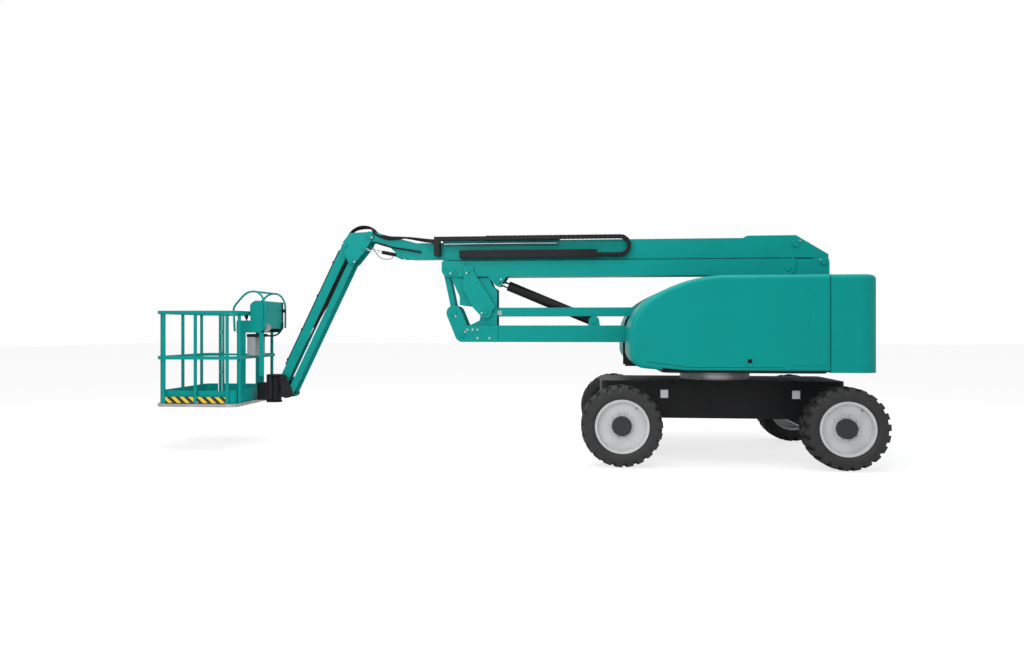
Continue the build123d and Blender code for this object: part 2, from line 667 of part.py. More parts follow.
with BuildPart() as riser_towers:
    with BuildSketch(side(-TOWER_INNER)):
        Polygon(
            (450, DECK_TOP), (WEIGHT_FRONT - RUN_GAP, DECK_TOP), (WEIGHT_FRONT - RUN_GAP, WEIGHT_SLOT_FLOOR + 20),
            (LINK_BASE[0] + 60, LINK_BASE[1] - 45), LINK_BASE, (LINK_BASE[0] - 60, LINK_BASE[1] + 45),
            (RISER_BASE[0] - 90, RISER_BASE[1] + 60), align=None,
        )
        with Locations(LINK_BASE):
            Circle(75)
        with Locations(RISER_BASE):
            Circle(108)
    extrude(amount=TOWER_THICK)
    bar(RISER_BASE, 62, -TOWER_INNER, -BEAM_HALF - RUN_GAP)
    bar(LINK_BASE, 42, -TOWER_INNER, -RAIL_OUTER - RUN_GAP)
    mirror(about=Plane.XZ)
    pin(RISER_BASE, PIN_RADIUS, TOWER_OUTER)
    pin(LINK_BASE, PIN_RADIUS, TOWER_OUTER)
save(riser_towers, "riser_towers")

# Counterweight: cast block with rounded back corners and a slot for the linkage

with BuildPart() as counterweight:
    with BuildSketch(level(WEIGHT_BOTTOM)) as weight_plan:
        with Locations(((WEIGHT_FRONT + TAIL_REACH) / 2, 0)):
            Rectangle(TAIL_REACH - WEIGHT_FRONT, 2 * COVER_HALF_WIDTH)
        fillet(weight_plan.vertices().group_by(Axis.X)[-1], WEIGHT_CORNER)
    extrude(amount=COVER_TOP - WEIGHT_BOTTOM)
    fillet(counterweight.faces().sort_by(Axis.Z)[-1].edges().sort_by(Axis.X)[1:], WEIGHT_EDGE)
    block(
        WEIGHT_FRONT - RUN_GAP, TAIL_REACH - WEIGHT_BACK_WALL, -WEIGHT_SLOT_HALF, WEIGHT_SLOT_HALF,
        WEIGHT_SLOT_FLOOR, COVER_TOP + RUN_GAP, mode=Mode.SUBTRACT,
    )
save(counterweight, "counterweight")

# Engine and tank: plain blocks where the real ones stand

with BuildPart() as engine_block:
    block(
        ENGINE_PLACE[0] - ENGINE_SIZE[0] / 2, ENGINE_PLACE[0] + ENGINE_SIZE[0] / 2,
        ENGINE_PLACE[1] - ENGINE_SIZE[1] / 2, ENGINE_PLACE[1] + ENGINE_SIZE[1] / 2,
        DECK_TOP, DECK_TOP + ENGINE_SIZE[2],
    )
save(engine_block, "engine_block")

with BuildPart() as hydraulic_tank:
    block(
        TANK_PLACE[0] - TANK_SIZE[0] / 2, TANK_PLACE[0] + TANK_SIZE[0] / 2,
        TANK_PLACE[1] - TANK_SIZE[1] / 2, TANK_PLACE[1] + TANK_SIZE[1] / 2,
        DECK_TOP, DECK_TOP + TANK_SIZE[2],
    )
save(hydraulic_tank, "hydraulic_tank")

# Covers: thin moulded shells, open below and towards the boom, hinged along the top inner edge


def cover_outline():
    """Side view of a cover: flat rear, low leading edge and a long curve from the front to the top."""
    with BuildLine() as outline:
        Polyline(
            (COVER_KINK, COVER_BOTTOM), (COVER_REAR, COVER_BOTTOM), (COVER_REAR, COVER_TOP), (COVER_CREST, COVER_TOP)
        )
        Polyline((-COVER_FRONT, COVER_BROW), (-COVER_FRONT, COVER_TOE), (COVER_KINK, COVER_BOTTOM))
        brow_curve(-COVER_FRONT, COVER_CREST, COVER_TOP, COVER_NOSE_RADIUS)
    face = make_face(outline.edges())
    toe_corner = face.vertices().group_by(Axis.X)[0].sort_by(Axis.Y)[0]
    face = fillet(toe_corner, COVER_TOE_RADIUS)
    kink_corner = face.vertices().group_by(Axis.Y)[0].sort_by(Axis.X)[0]
    fillet(kink_corner, COVER_KINK_RADIUS)


for name, out in (("near", -1), ("far", 1)):
    wall_ends = sorted((out * COVER_INNER_Y, out * COVER_HALF_WIDTH))
    with BuildPart() as cover:
        with BuildSketch(side(wall_ends[1])):
            cover_outline()
        extrude(amount=COVER_HALF_WIDTH - COVER_INNER_Y)
        upright = cover.faces().sort_by(Axis.Y)
        outer_face = upright[0] if out < 0 else upright[-1]
        fillet(outer_face.edges().sort_by(Axis.X)[:-1], COVER_EDGE)
        upright = cover.faces().sort_by(Axis.Y)
        inner_face = upright[-1:] if out < 0 else upright[:1]
        offset(amount=-COVER_WALL, openings=inner_face, kind=Kind.INTERSECTION)
        bottom_ends = sorted((out * (COVER_INNER_Y - RUN_GAP), out * (COVER_HALF_WIDTH - COVER_WALL)))
        block(
            -DECK_FRONT - RUN_GAP, COVER_REAR + RUN_GAP, *bottom_ends,
            COVER_BOTTOM - RUN_GAP, DECK_TOP + 6 * RUN_GAP, mode=Mode.SUBTRACT,
        )
        lug_ends = (out * HINGE_Y - HINGE_IN, out * HINGE_Y + HINGE_IN)
        for place in HINGE_PLACES:
            block(
                place + RUN_GAP, place + HINGE_LUG / 2 + RUN_GAP, *lug_ends,
                HINGE_Z - HINGE_IN, COVER_TOP - COVER_WALL,
            )
        with BuildSketch(across(HINGE_START)):
            with Locations((out * HINGE_Y, HINGE_Z)):
                Circle(HINGE_RADIUS + PIN_GAP)
        extrude(amount=HINGE_STOP - HINGE_START, mode=Mode.SUBTRACT)
    save(cover, f"cover_{name}")

# Lower riser: box beam with a fork at the knuckle end, whose plates reach up to the timing link

with BuildPart() as lower_riser:
    with BuildSketch(side(-BEAM_INNER)):
        with BuildLine():
            Line((MID_PIN[0], LOWER_BOTTOM), (RISER_BASE[0], LOWER_BOTTOM))
            ThreePointArc(
                (RISER_BASE[0], LOWER_BOTTOM),
                (RISER_BASE[0] + (LOWER_TOP - LOWER_BOTTOM) / 2, (LOWER_BOTTOM + LOWER_TOP) / 2),
                (RISER_BASE[0], LOWER_TOP),
            )
            Line((RISER_BASE[0], LOWER_TOP), (MID_PIN[0], LOWER_TOP))
            Line((MID_PIN[0], LOWER_TOP), (MID_PIN[0], LOWER_BOTTOM))
        make_face()
    extrude(amount=BEAM_WALL)
    hull_plate(((TIMING_EAR, EAR_RADIUS), (MID_PIN, MID_PIN[1] - LOWER_BOTTOM)), -FORK_OUTER, -BEAM_INNER)
    outline_plate(
        (
            (MID_PIN[0], LOWER_BOTTOM), (FORK_ROOT, LOWER_BOTTOM),
            (FORK_ROOT, LOWER_TOP), (MID_PIN[0], LOWER_TOP),
        ),
        -FORK_OUTER, -BEAM_HALF,
    )
    mirror(about=Plane.XZ)
    beam_end = RISER_BASE[0] - SLEEVE_RADIUS
    block(FORK_ROOT, beam_end, -BEAM_INNER, BEAM_INNER, LOWER_TOP - BEAM_WALL, LOWER_TOP)
    block(MID_PIN[0], beam_end, -BEAM_INNER, BEAM_INNER, LOWER_BOTTOM, LOWER_BOTTOM + BEAM_WALL)
    block(FORK_ROOT, FORK_ROOT + BEAM_WALL, -BEAM_INNER, BEAM_INNER, LOWER_BOTTOM, LOWER_TOP)
    bar(RISER_BASE, SLEEVE_RADIUS, -BEAM_HALF, BEAM_HALF)
    eye_hole(RISER_BASE, PIN_RADIUS, BEAM_HALF)
    for low, high in ((-CHEEK_OUTER, -CHEEK_INNER), (CHEEK_INNER, CHEEK_OUTER)):
        hull_plate(
            (
                (RISER_CYL_BASE, RISER_EAR_RADIUS),
                ((RISER_CYL_BASE[0] - RISER_EAR_RADIUS, LOWER_TOP), BEAM_WALL / 2),
                ((RISER_CYL_BASE[0] + RISER_EAR_RADIUS, LOWER_TOP), BEAM_WALL / 2),
            ),
            low, high,
        )
    block(
        RISER_CYL_BASE[0] - 2 * RISER_EAR_RADIUS, RISER_CYL_BASE[0] + 2 * RISER_EAR_RADIUS,
        -CHEEK_OUTER, CHEEK_OUTER, LOWER_TOP - 4 * BEAM_WALL, LOWER_TOP - BEAM_WALL, mode=Mode.SUBTRACT,
    )
    pin(RISER_CYL_BASE, PIN_RADIUS, CHEEK_OUTER)
    pin(MID_PIN, PIN_RADIUS, FORK_OUTER)
    pin(TIMING_EAR, PIN_RADIUS, FORK_OUTER)
save(lower_riser, "lower_riser")

# Lower link: twin flat rails with two ties, one each side of the riser cylinder

with BuildPart() as lower_link:
    for low, high in ((-RAIL_OUTER, -RAIL_INNER), (RAIL_INNER, RAIL_OUTER)):
        strap(LINK_MID_PIN, LINK_BASE, RAIL_DEPTH, low, high)
    for place in RAIL_TIES:
        bar((place, LINK_BASE[1]), RAIL_TIE_RADIUS, -RAIL_INNER, RAIL_INNER)
    eye_hole(LINK_MID_PIN, PIN_RADIUS, RAIL_OUTER)
    eye_hole(LINK_BASE, PIN_RADIUS, RAIL_OUTER)
save(lower_link, "lower_link")

# Mid knuckle: two cheeks inside the forks, the stay plates outside them and their pins

KNUCKLE_RIGHT = MID_PIN[0] + 403.0
with BuildPart() as mid_knuckle:
    with BuildSketch(side(-CHEEK_INNER)):
        Polygon(
            (TOP_PIN[0] - 46, TOP_PIN[1] - 34),
            (MID_PIN[0] - 37, MID_PIN[1] + 445),
            (MID_PIN[0] - 37, MID_PIN[1] + 345),
            (MID_PIN[0] + 118, MID_PIN[1] + 325),
            (MID_PIN[0] + 218, MID_PIN[1] + 245),
            (MID_PIN[0] + 198, MID_PIN[1] + 165),
            (MID_PIN[0] + 110, MID_PIN[1] + 120),
            (MID_PIN[0] - 20, MID_PIN[1] + 56),
            (MID_PIN[0], MID_PIN[1] - 58),
            (KNUCKLE_RIGHT - 40, MID_PIN[1] - 40),
            (KNUCKLE_RIGHT, MID_PIN[1]),
            (KNUCKLE_RIGHT, TOP_PIN[1] - 230),
            (KNUCKLE_RIGHT - 50, TOP_PIN[1] - 190),
            (KNUCKLE_RIGHT - 90, UPPER_BOTTOM - 14),
            (TOP_PIN[0] + 118, UPPER_BOTTOM - 14),
            (TOP_PIN[0] + 52, TOP_PIN[1] + 8),
            align=None,
        )
        with Locations(TOP_PIN):
            Circle(56)
        with Locations(MID_PIN):
            Circle(60)
    extrude(amount=CHEEK_THICK)
    strap(TOP_PIN, UPPER_LINK_MID_PIN, UPPER_LINK_DEPTH, -CHEEK_OUTER, -CHEEK_INNER)
    with BuildSketch(side(-STAY_INNER)):
        Polygon(
            (STAY_TOP[0] - 56, STAY_TOP[1] - 30),
            (STAY_TOP[0] - 66, STAY_TOP[1] - 215),
            (LINK_MID_PIN[0] - 150, LINK_MID_PIN[1] + 55),
            (LINK_MID_PIN[0] - 40, LINK_MID_PIN[1] - 62),
            (LINK_MID_PIN[0] + 74, LINK_MID_PIN[1] + 10),
            (LINK_MID_PIN[0] + 118, LINK_MID_PIN[1] + 62),
            (STAY_TOP[0] + 58, STAY_TOP[1] - 16),
            align=None,
        )
        with Locations(STAY_TOP):
            Circle(60)
        with Locations(LINK_MID_PIN):
            Circle(76)
    extrude(amount=STAY_THICK)
    bar(LINK_MID_PIN, SLEEVE_RADIUS, -STAY_INNER, -CHEEK_OUTER)
    mirror(about=Plane.XZ)
    bar((KNUCKLE_RIGHT - 130, MID_PIN[1] + 500), 40, -CHEEK_INNER, CHEEK_INNER)
    pin(LINK_MID_PIN, PIN_RADIUS, STAY_OUTER)
    pin(TOP_PIN, PIN_RADIUS, FORK_OUTER)
    bar(UPPER_LINK_MID_PIN, SMALL_PIN_RADIUS, -CHEEK_OUTER, CHEEK_OUTER)
    for out in (-1, 1):
        head_ends = sorted((out * STAY_OUTER, out * (STAY_OUTER + PIN_HEAD)))
        bar(STAY_TOP, PIN_RADIUS, *head_ends)
    eye_hole(MID_PIN, PIN_RADIUS, CHEEK_OUTER)
save(mid_knuckle, "mid_knuckle")

# Timing link: twin straps from the lower riser's ears to the upper riser

with BuildPart() as timing_link:
    for low, high in ((-TIMING_OUTER, -TIMING_INNER), (TIMING_INNER, TIMING_OUTER)):
        strap(TIMING_EAR, TIMING_TOP, TIMING_DEPTH, low, high)
    eye_hole(TIMING_EAR, PIN_RADIUS, TIMING_OUTER)
save(timing_link, "timing_link")

# Upper riser: channel open at the top, which holds the upper link

with BuildPart() as upper_riser:
    with BuildSketch(side(-BEAM_INNER)) as wall_shape:
        Polygon(
            (TOP_PIN[0] - 128, UPPER_BOTTOM), (UPPER_PIN[0] + 80, UPPER_BOTTOM),
            (UPPER_PIN[0] + 80, UPPER_TOP), (TOP_PIN[0] - 128, UPPER_TOP), align=None,
        )
        lower_corners = wall_shape.vertices().group_by(Axis.Y)[0]
        fillet(lower_corners, 78)
        upper_corners = wall_shape.vertices().group_by(Axis.Y)[-1]
        fillet(upper_corners, 20)
    extrude(amount=BEAM_WALL)
    bar(TOP_PIN, 70, -FORK_OUTER, -BEAM_HALF)
    hull_plate(
        (
            (RISER_CYL_EYE, RISER_EAR_RADIUS - 8),
            ((RISER_CYL_EYE[0] - 110, UPPER_BOTTOM + BEAM_WALL), BEAM_WALL),
            ((RISER_CYL_EYE[0] + 92, UPPER_BOTTOM + BEAM_WALL), BEAM_WALL),
        ),
        -BEAM_HALF, -BEAM_INNER,
    )
    mirror(about=Plane.XZ)
    block(
        TOP_PIN[0] + 139, UPPER_PIN[0] - UPPER_FLOOR_SETBACK, -BEAM_INNER, BEAM_INNER, UPPER_BOTTOM, UPPER_BOTTOM + BEAM_WALL
    )
    stubs(RISER_CYL_EYE, PIN_RADIUS, RISER_CYL_EYE_HALF + RUN_GAP, BEAM_HALF)
    for out in (-1, 1):
        spacer_ends = sorted((out * (RISER_CYL_EYE_HALF + RUN_GAP), out * BEAM_INNER))
        bar(RISER_CYL_EYE, SLEEVE_RADIUS, *spacer_ends)
    block(
        RISER_CYL_EYE[0] - 4 * SLEEVE_RADIUS, RISER_CYL_EYE[0] + 3 * SLEEVE_RADIUS,
        -RAIL_INNER, RAIL_INNER, UPPER_BOTTOM, UPPER_BOTTOM + BEAM_WALL, mode=Mode.SUBTRACT,
    )
    stubs(TIMING_TOP, SMALL_PIN_RADIUS, TIMING_OUTER + RUN_GAP, BEAM_HALF)
    eye_hole(TOP_PIN, PIN_RADIUS, FORK_OUTER)
    eye_hole(UPPER_PIN, PIN_RADIUS, FORK_OUTER)
save(upper_riser, "upper_riser")

with BuildPart() as upper_link:
    strap(UPPER_LINK_MID_PIN, UPPER_LINK_PIN, UPPER_LINK_DEPTH, -UPPER_LINK_HALF, UPPER_LINK_HALF)
    eye_hole(UPPER_LINK_MID_PIN, SMALL_PIN_RADIUS, UPPER_LINK_HALF)
    eye_hole(UPPER_LINK_PIN, SMALL_PIN_RADIUS, UPPER_LINK_HALF)
save(upper_link, "upper_link")

# Upper knuckle: two cheeks between the channel's walls that carry the boom and its lift cylinder

with BuildPart() as upper_knuckle:
    with BuildSketch(side(-CHEEK_INNER)):
        Polygon(
            (UPPER_LINK_PIN[0] - 26, UPPER_LINK_PIN[1] - 10),
            (UPPER_LINK_PIN[0] - 10, UPPER_TOP - 4),
            (BOOM_PIVOT[0] - 60, UPPER_TOP - 4),
            (BOOM_PIVOT[0], BOOM_PIVOT[1] + 60),
            (BOOM_PIVOT[0] + 66, BOOM_PIVOT[1]),
            (BOOM_PIVOT[0] + 66, BOOM_PIVOT[1] - 260),
            (LIFT_CYL_BASE[0] + 130, LIFT_CYL_BASE[1] - 60),
            (LIFT_CYL_BASE[0], LIFT_CYL_BASE[1] - 62),
            (LIFT_CYL_BASE[0] - 60, LIFT_CYL_BASE[1] + 10),
            (UPPER_PIN[0] + 80, UPPER_PIN[1] - 90),
            (UPPER_PIN[0] + 20, UPPER_PIN[1] - 60),
            (UPPER_PIN[0] - 56, UPPER_PIN[1] - 14),
            align=None,
        )
        with Locations(UPPER_PIN):
            Circle(60)
        with Locations(LIFT_CYL_BASE):
            Circle(62)
        with Locations(BOOM_PIVOT):
            Circle(66)
    extrude(amount=CHEEK_THICK)
    mirror(about=Plane.XZ)
    block(
        BOOM_PIVOT[0] + 44, BOOM_PIVOT[0] + 58, -CHEEK_INNER, CHEEK_INNER,
        BOOM_PIVOT[1] - 250, BOOM_PIVOT[1] - 110,
    )
    stubs(UPPER_PIN, PIN_RADIUS, CHEEK_INNER, BEAM_HALF)
    pin(BOOM_PIVOT, PIN_RADIUS, CHEEK_OUTER)
    bar(LIFT_CYL_BASE, PIN_RADIUS, -CHEEK_OUTER, CHEEK_OUTER)
    bar(UPPER_LINK_PIN, SMALL_PIN_RADIUS, -CHEEK_OUTER, CHEEK_OUTER)
save(upper_knuckle, "upper_knuckle")


def cylinder_pair(name, base, eye, radius, rod_radius, mouth_share, rod_share, bore_share, eye_half, base_pin):
    """Hydraulic cylinder at rest: barrel with a bored base eye, and rod whose eye carries its own pin."""
    total = distance(base, eye)
    angle = heading(base, eye)
    eye_radius = radius * 0.82
    mouth = polar(base, total * mouth_share, angle)
    with BuildPart() as barrel:
        rod_along(polar(base, eye_radius * 0.7, angle), mouth, radius)
        rod_along(polar(base, total * bore_share, angle), mouth, rod_radius + PIN_GAP, mode=Mode.SUBTRACT)
        bar(base, eye_radius, -eye_half, eye_half)
        eye_hole(base, base_pin, radius + eye_half)
    save(barrel, f"{name}_barrel")
    with BuildPart() as rod:
        rod_along(polar(base, total * rod_share, angle), polar(eye, eye_radius * 0.7, angle + 180), rod_radius)
        bar(eye, eye_radius, -eye_half, eye_half)
    save(rod, f"{name}_rod")


cylinder_pair(
    "riser_cylinder", RISER_CYL_BASE, RISER_CYL_EYE, RISER_CYL_RADIUS, RISER_ROD_RADIUS,
    0.9, 0.08, 0.07, RISER_CYL_EYE_HALF, PIN_RADIUS,
)
cylinder_pair(
    "lift_cylinder", LIFT_CYL_BASE, LIFT_CYL_EYE, LIFT_CYL_RADIUS, LIFT_ROD_RADIUS,
    0.74, 0.2, 0.16, 40.0, PIN_RADIUS,
)

# Main boom: box tube with a deeper heel that straddles the lift cylinder

with BuildPart() as main_boom:
    with BuildSketch(side(-BOOM_HALF + BOOM_WALL)):
        Polygon(
            (BOOM_FRONT, BOOM_BOTTOM), (BOOM_PIVOT[0] - 90, BOOM_BOTTOM), (BOOM_PIVOT[0] - 50, BOOM_PIVOT[1] - 40),
            BOOM_PIVOT, (BOOM_PIVOT[0] + 62, BOOM_PIVOT[1] + 16), (BOOM_PIVOT[0] + 62, BOOM_PIVOT[1] + 90),
            (HEEL_CHAMFER, HEEL_TOP), (HEEL_FRONT, HEEL_TOP), (HEEL_FRONT, BOOM_TOP), (BOOM_FRONT, BOOM_TOP),
            align=None,
        )
        with Locations(BOOM_PIVOT):
            Circle(HEEL_RADIUS)
    extrude(amount=BOOM_WALL)
    with BuildSketch(side(-BOOM_HALF + BOOM_WALL + HEEL_DOUBLER)):
        Polygon(
            (HEEL_FLOOR_END, BOOM_BOTTOM + 2 * BOOM_WALL), (BOOM_PIVOT[0] - 80, BOOM_BOTTOM + 2 * BOOM_WALL),
            (BOOM_PIVOT[0] + 50, BOOM_PIVOT[1]), (BOOM_PIVOT[0] + 50, BOOM_PIVOT[1] + 86),
            (HEEL_CHAMFER - 10, HEEL_TOP - 2 * BOOM_WALL), (HEEL_FLOOR_END, HEEL_TOP - 2 * BOOM_WALL),
            align=None,
        )
        with Locations(BOOM_PIVOT):
            Circle(HEEL_RADIUS)
    extrude(amount=HEEL_DOUBLER)
    mirror(about=Plane.XZ)
    inner = BOOM_HALF - BOOM_WALL
    block(BOOM_FRONT, HEEL_FRONT, -inner, inner, BOOM_TOP - BOOM_WALL, BOOM_TOP)
    block(BOOM_FRONT, HEEL_FLOOR_END, -inner, inner, BOOM_BOTTOM, BOOM_BOTTOM + BOOM_WALL)
    block(HEEL_FRONT, HEEL_CHAMFER, -inner, inner, HEEL_TOP - BOOM_WALL, HEEL_TOP)
    block(HEEL_FRONT, HEEL_FRONT + BOOM_WALL, -inner, inner, BOOM_TOP - BOOM_WALL, HEEL_TOP)
    heel_inner = inner - HEEL_DOUBLER
    for out in (-1, 1):
        sleeve_ends = sorted((out * (LIFT_CYL_RADIUS + RUN_GAP), out * heel_inner))
        bar(LIFT_CYL_EYE, SLEEVE_RADIUS, *sleeve_ends)
    stubs(LIFT_CYL_EYE, PIN_RADIUS, LIFT_CYL_RADIUS + RUN_GAP, BOOM_HALF)
    bar(BOOM_PIVOT, SLEEVE_RADIUS, -heel_inner, heel_inner)
    eye_hole(BOOM_PIVOT, PIN_RADIUS, BOOM_HALF)
save(main_boom, "main_boom")

with BuildPart() as boom_wear_pads:
    pad_rear = BOOM_FRONT + PAD_LENGTH
    pad_z = BOOM_BOTTOM + BOOM_DEPTH / 2
    for out in (-1, 1):
        pad_ends = sorted((out * (FLY_HALF + SEAT_GAP), out * (BOOM_HALF - BOOM_WALL)))
        block(BOOM_FRONT, pad_rear, *pad_ends, pad_z - PAD_WIDTH / 2, pad_z + PAD_WIDTH / 2)
        pad_edges = sorted((out * (FLY_HALF - PAD_WIDTH), out * (FLY_HALF - RUN_GAP)))
        block(BOOM_FRONT, pad_rear, *pad_edges, BOOM_BOTTOM + BOOM_WALL, FLY_BOTTOM - SEAT_GAP)
        block(BOOM_FRONT, pad_rear, *pad_edges, FLY_TOP + SEAT_GAP, BOOM_TOP - BOOM_WALL)
save(boom_wear_pads, "boom_wear_pads")

# Fly boom: inner box tube whose side plates rise to the nose

with BuildPart() as fly_boom:
    with BuildSketch(across(NOSE_START)):
        with Locations((0, (FLY_BOTTOM + FLY_TOP) / 2)):
            Rectangle(2 * FLY_HALF, FLY_DEPTH)
            Rectangle(2 * (FLY_HALF - FLY_WALL), FLY_DEPTH - 2 * FLY_WALL, mode=Mode.SUBTRACT)
    extrude(amount=FLY_REAR - NOSE_START)
    with BuildSketch(side(-FLY_HALF + NOSE_PLATE)):
        Polygon(
            (NOSE_START + 120, FLY_BOTTOM), (NOSE_START - 110, FLY_BOTTOM + 10),
            (LEVEL_CYL_BASE[0] - 30, LEVEL_CYL_BASE[1] + 16), (LEVEL_CYL_BASE[0] - 145, LEVEL_CYL_BASE[1] + 130),
            (NOSE_PIVOT[0] + 60, NOSE_PIVOT[1] - 68), (NOSE_PIVOT[0], NOSE_PIVOT[1] - 60),
            (NOSE_PIVOT[0], NOSE_PIVOT[1] + 60), (LEVEL_CYL_BASE[0] - 145, NOSE_PIVOT[1] + 8),
            (NOSE_START + 60, FLY_TOP), (NOSE_START + 120, FLY_TOP),
            align=None,
        )
        with Locations(NOSE_PIVOT):
            Circle(60)
        with Locations(LEVEL_CYL_BASE):
            Circle(36)
    extrude(amount=NOSE_PLATE)
    bar(LEVEL_CYL_BASE, LEVEL_CYL_RADIUS, -FLY_HALF + NOSE_PLATE, -LEVEL_CYL_RADIUS - RUN_GAP)
    bar(NOSE_PIVOT, SLEEVE_RADIUS, -FLY_HALF, 0)
    mirror(about=Plane.XZ)
    nose_web = 8
    with BuildSketch(side(FLY_HALF - NOSE_PLATE)):
        Polygon(
            (NOSE_START, FLY_TOP - nose_web), (LEVEL_CYL_BASE[0] - 145, NOSE_PIVOT[1] - nose_web),
            (NOSE_PIVOT[0] + 20, NOSE_PIVOT[1] + 54 - nose_web), (NOSE_PIVOT[0] + 20, NOSE_PIVOT[1] + 54),
            (LEVEL_CYL_BASE[0] - 145, NOSE_PIVOT[1]), (NOSE_START, FLY_TOP),
            align=None,
        )
    extrude(amount=2 * (FLY_HALF - NOSE_PLATE))
    pin(LEVEL_CYL_BASE, SMALL_PIN_RADIUS, FLY_HALF)
    eye_hole(NOSE_PIVOT, PIN_RADIUS, FLY_HALF)
save(fly_boom, "fly_boom")

# Hose chain: lower tray on the main boom, upper tray carried from the fly boom, and the loop between

CHAIN_LOW = CHAIN_CENTRE[1] - CHAIN_RADIUS
CHAIN_HIGH = CHAIN_CENTRE[1] + CHAIN_RADIUS
LOWER_TRAY_BOTTOM = CHAIN_LOW - CHAIN_THICK / 2 - RUN_GAP - TRAY_WALL
UPPER_TRAY_BOTTOM = CHAIN_HIGH - CHAIN_THICK / 2 - RUN_GAP - TRAY_WALL

with BuildPart() as lower_hose_tray:
    block(
        LOWER_TRAY_FRONT, LOWER_TRAY_REAR, -TRAY_OUTER, -TRAY_START,
        LOWER_TRAY_BOTTOM, LOWER_TRAY_BOTTOM + TRAY_WALL,
    )
    block(
        LOWER_TRAY_FRONT, LOWER_TRAY_REAR, -TRAY_OUTER, -TRAY_OUTER + TRAY_WALL,
        LOWER_TRAY_BOTTOM, LOWER_TRAY_BOTTOM + 2 * CHAIN_THICK,
    )
save(lower_hose_tray, "lower_hose_tray")

with BuildPart() as upper_hose_tray:
    block(
        CARRIER_REAR, UPPER_TRAY_REAR, -TRAY_OUTER, -TRAY_START - RUN_GAP,
        UPPER_TRAY_BOTTOM, UPPER_TRAY_BOTTOM + TRAY_WALL,
    )
    block(
        CARRIER_REAR, UPPER_TRAY_REAR, -TRAY_OUTER, -TRAY_OUTER + TRAY_WALL,
        UPPER_TRAY_BOTTOM, UPPER_TRAY_BOTTOM + CHAIN_THICK,
    )
    block(CARRIER_FRONT, CARRIER_REAR, -TRAY_OUTER, -FLY_HALF, FLY_BOTTOM + 30, UPPER_TRAY_BOTTOM + CHAIN_THICK)
save(upper_hose_tray, "upper_hose_tray")

with BuildPart() as hose_chain_loop:
    with BuildSketch(side(-CHAIN_INNER)):
        with BuildLine():
            chain_path = Line((CHAIN_CENTRE[0] - CHAIN_LOWER_RUN, CHAIN_LOW), (CHAIN_CENTRE[0], CHAIN_LOW))
            loop_path = ThreePointArc(
                (CHAIN_CENTRE[0], CHAIN_LOW), (CHAIN_CENTRE[0] + CHAIN_RADIUS, CHAIN_CENTRE[1]),
                (CHAIN_CENTRE[0], CHAIN_HIGH),
            )
            upper_path = Line((CHAIN_CENTRE[0], CHAIN_HIGH), (CHAIN_CENTRE[0] - CHAIN_UPPER_RUN, CHAIN_HIGH))
            offset(amount=CHAIN_THICK / 2, side=Side.BOTH, kind=Kind.INTERSECTION)
        make_face()
    extrude(amount=CHAIN_OUTER - CHAIN_INNER)
save(hose_chain_loop, "hose_chain_loop")

# Nose bracket: level-keeping plates on the fly boom's nose, which carry the jib

JIB_FOOT = polar(JIB_TOP, JIB_LENGTH, JIB_ANGLE)
JIB_LINK_FOOT = (JIB_FOOT[0] + JIB_LINK_OFFSET[0], JIB_FOOT[1] + JIB_LINK_OFFSET[1])
JIB_CYL_BASE = polar(JIB_TOP, JIB_CYL_LEVER, JIB_CYL_ANGLE)
JIB_CYL_EYE = polar(JIB_TOP, JIB_CYL_REACH, JIB_ANGLE)

with BuildPart() as nose_bracket:
    hull_plate(
        (
            (NOSE_PIVOT, 50), ((JIB_TOP[0] + 76, JIB_TOP[1] + 100), 46), (JIB_TOP, 46),
            (JIB_LINK_TOP, 46), (LEVEL_CYL_EYE, 40),
        ),
        -BRACKET_OUTER, -BRACKET_INNER,
    )
    block(
        JIB_LINK_TOP[0] + 50, JIB_LINK_TOP[0] + 64, -BRACKET_INNER, -JIB_LUG_INNER,
        JIB_LINK_TOP[1] + 20, JIB_LINK_TOP[1] + 110,
    )
    hull_plate(
        (
            (JIB_CYL_BASE, 28), ((JIB_LINK_TOP[0] + 55, JIB_LINK_TOP[1] + 40), 8),
            ((JIB_LINK_TOP[0] + 55, JIB_LINK_TOP[1] + 90), 8),
        ),
        -JIB_LUG_OUTER, -JIB_LUG_INNER,
    )
    bar(LEVEL_CYL_EYE, LEVEL_CYL_RADIUS, -BRACKET_INNER, -LEVEL_CYL_RADIUS - RUN_GAP)
    bar(NOSE_PIVOT, SLEEVE_RADIUS, -BRACKET_INNER, -FLY_HALF - RUN_GAP)
    mirror(about=Plane.XZ)
    pin(NOSE_PIVOT, PIN_RADIUS, BRACKET_OUTER)
    stubs(LEVEL_CYL_EYE, SMALL_PIN_RADIUS, LEVEL_CYL_RADIUS + RUN_GAP, BRACKET_OUTER)
    bar(JIB_CYL_BASE, SMALL_PIN_RADIUS, -JIB_LUG_OUTER, JIB_LUG_OUTER)
    stubs(JIB_TOP, JIB_PIN_RADIUS, JIB_INNER, BRACKET_OUTER)
    stubs(JIB_LINK_TOP, JIB_PIN_RADIUS, JIB_LINK_INNER, BRACKET_OUTER)
save(nose_bracket, "nose_bracket")

cylinder_pair(
    "level_cylinder", LEVEL_CYL_BASE, LEVEL_CYL_EYE, LEVEL_CYL_RADIUS, LEVEL_ROD_RADIUS,
    0.52, 0.45, 0.055, 18.0, SMALL_PIN_RADIUS,
)
cylinder_pair(
    "jib_cylinder", JIB_CYL_BASE, JIB_CYL_EYE, JIB_CYL_RADIUS, JIB_ROD_RADIUS,
    0.72, 0.2, 0.16, 30.0, SMALL_PIN_RADIUS,
)

# Jib arm: channel with its web on the upper side, and the twin straps of the jib link

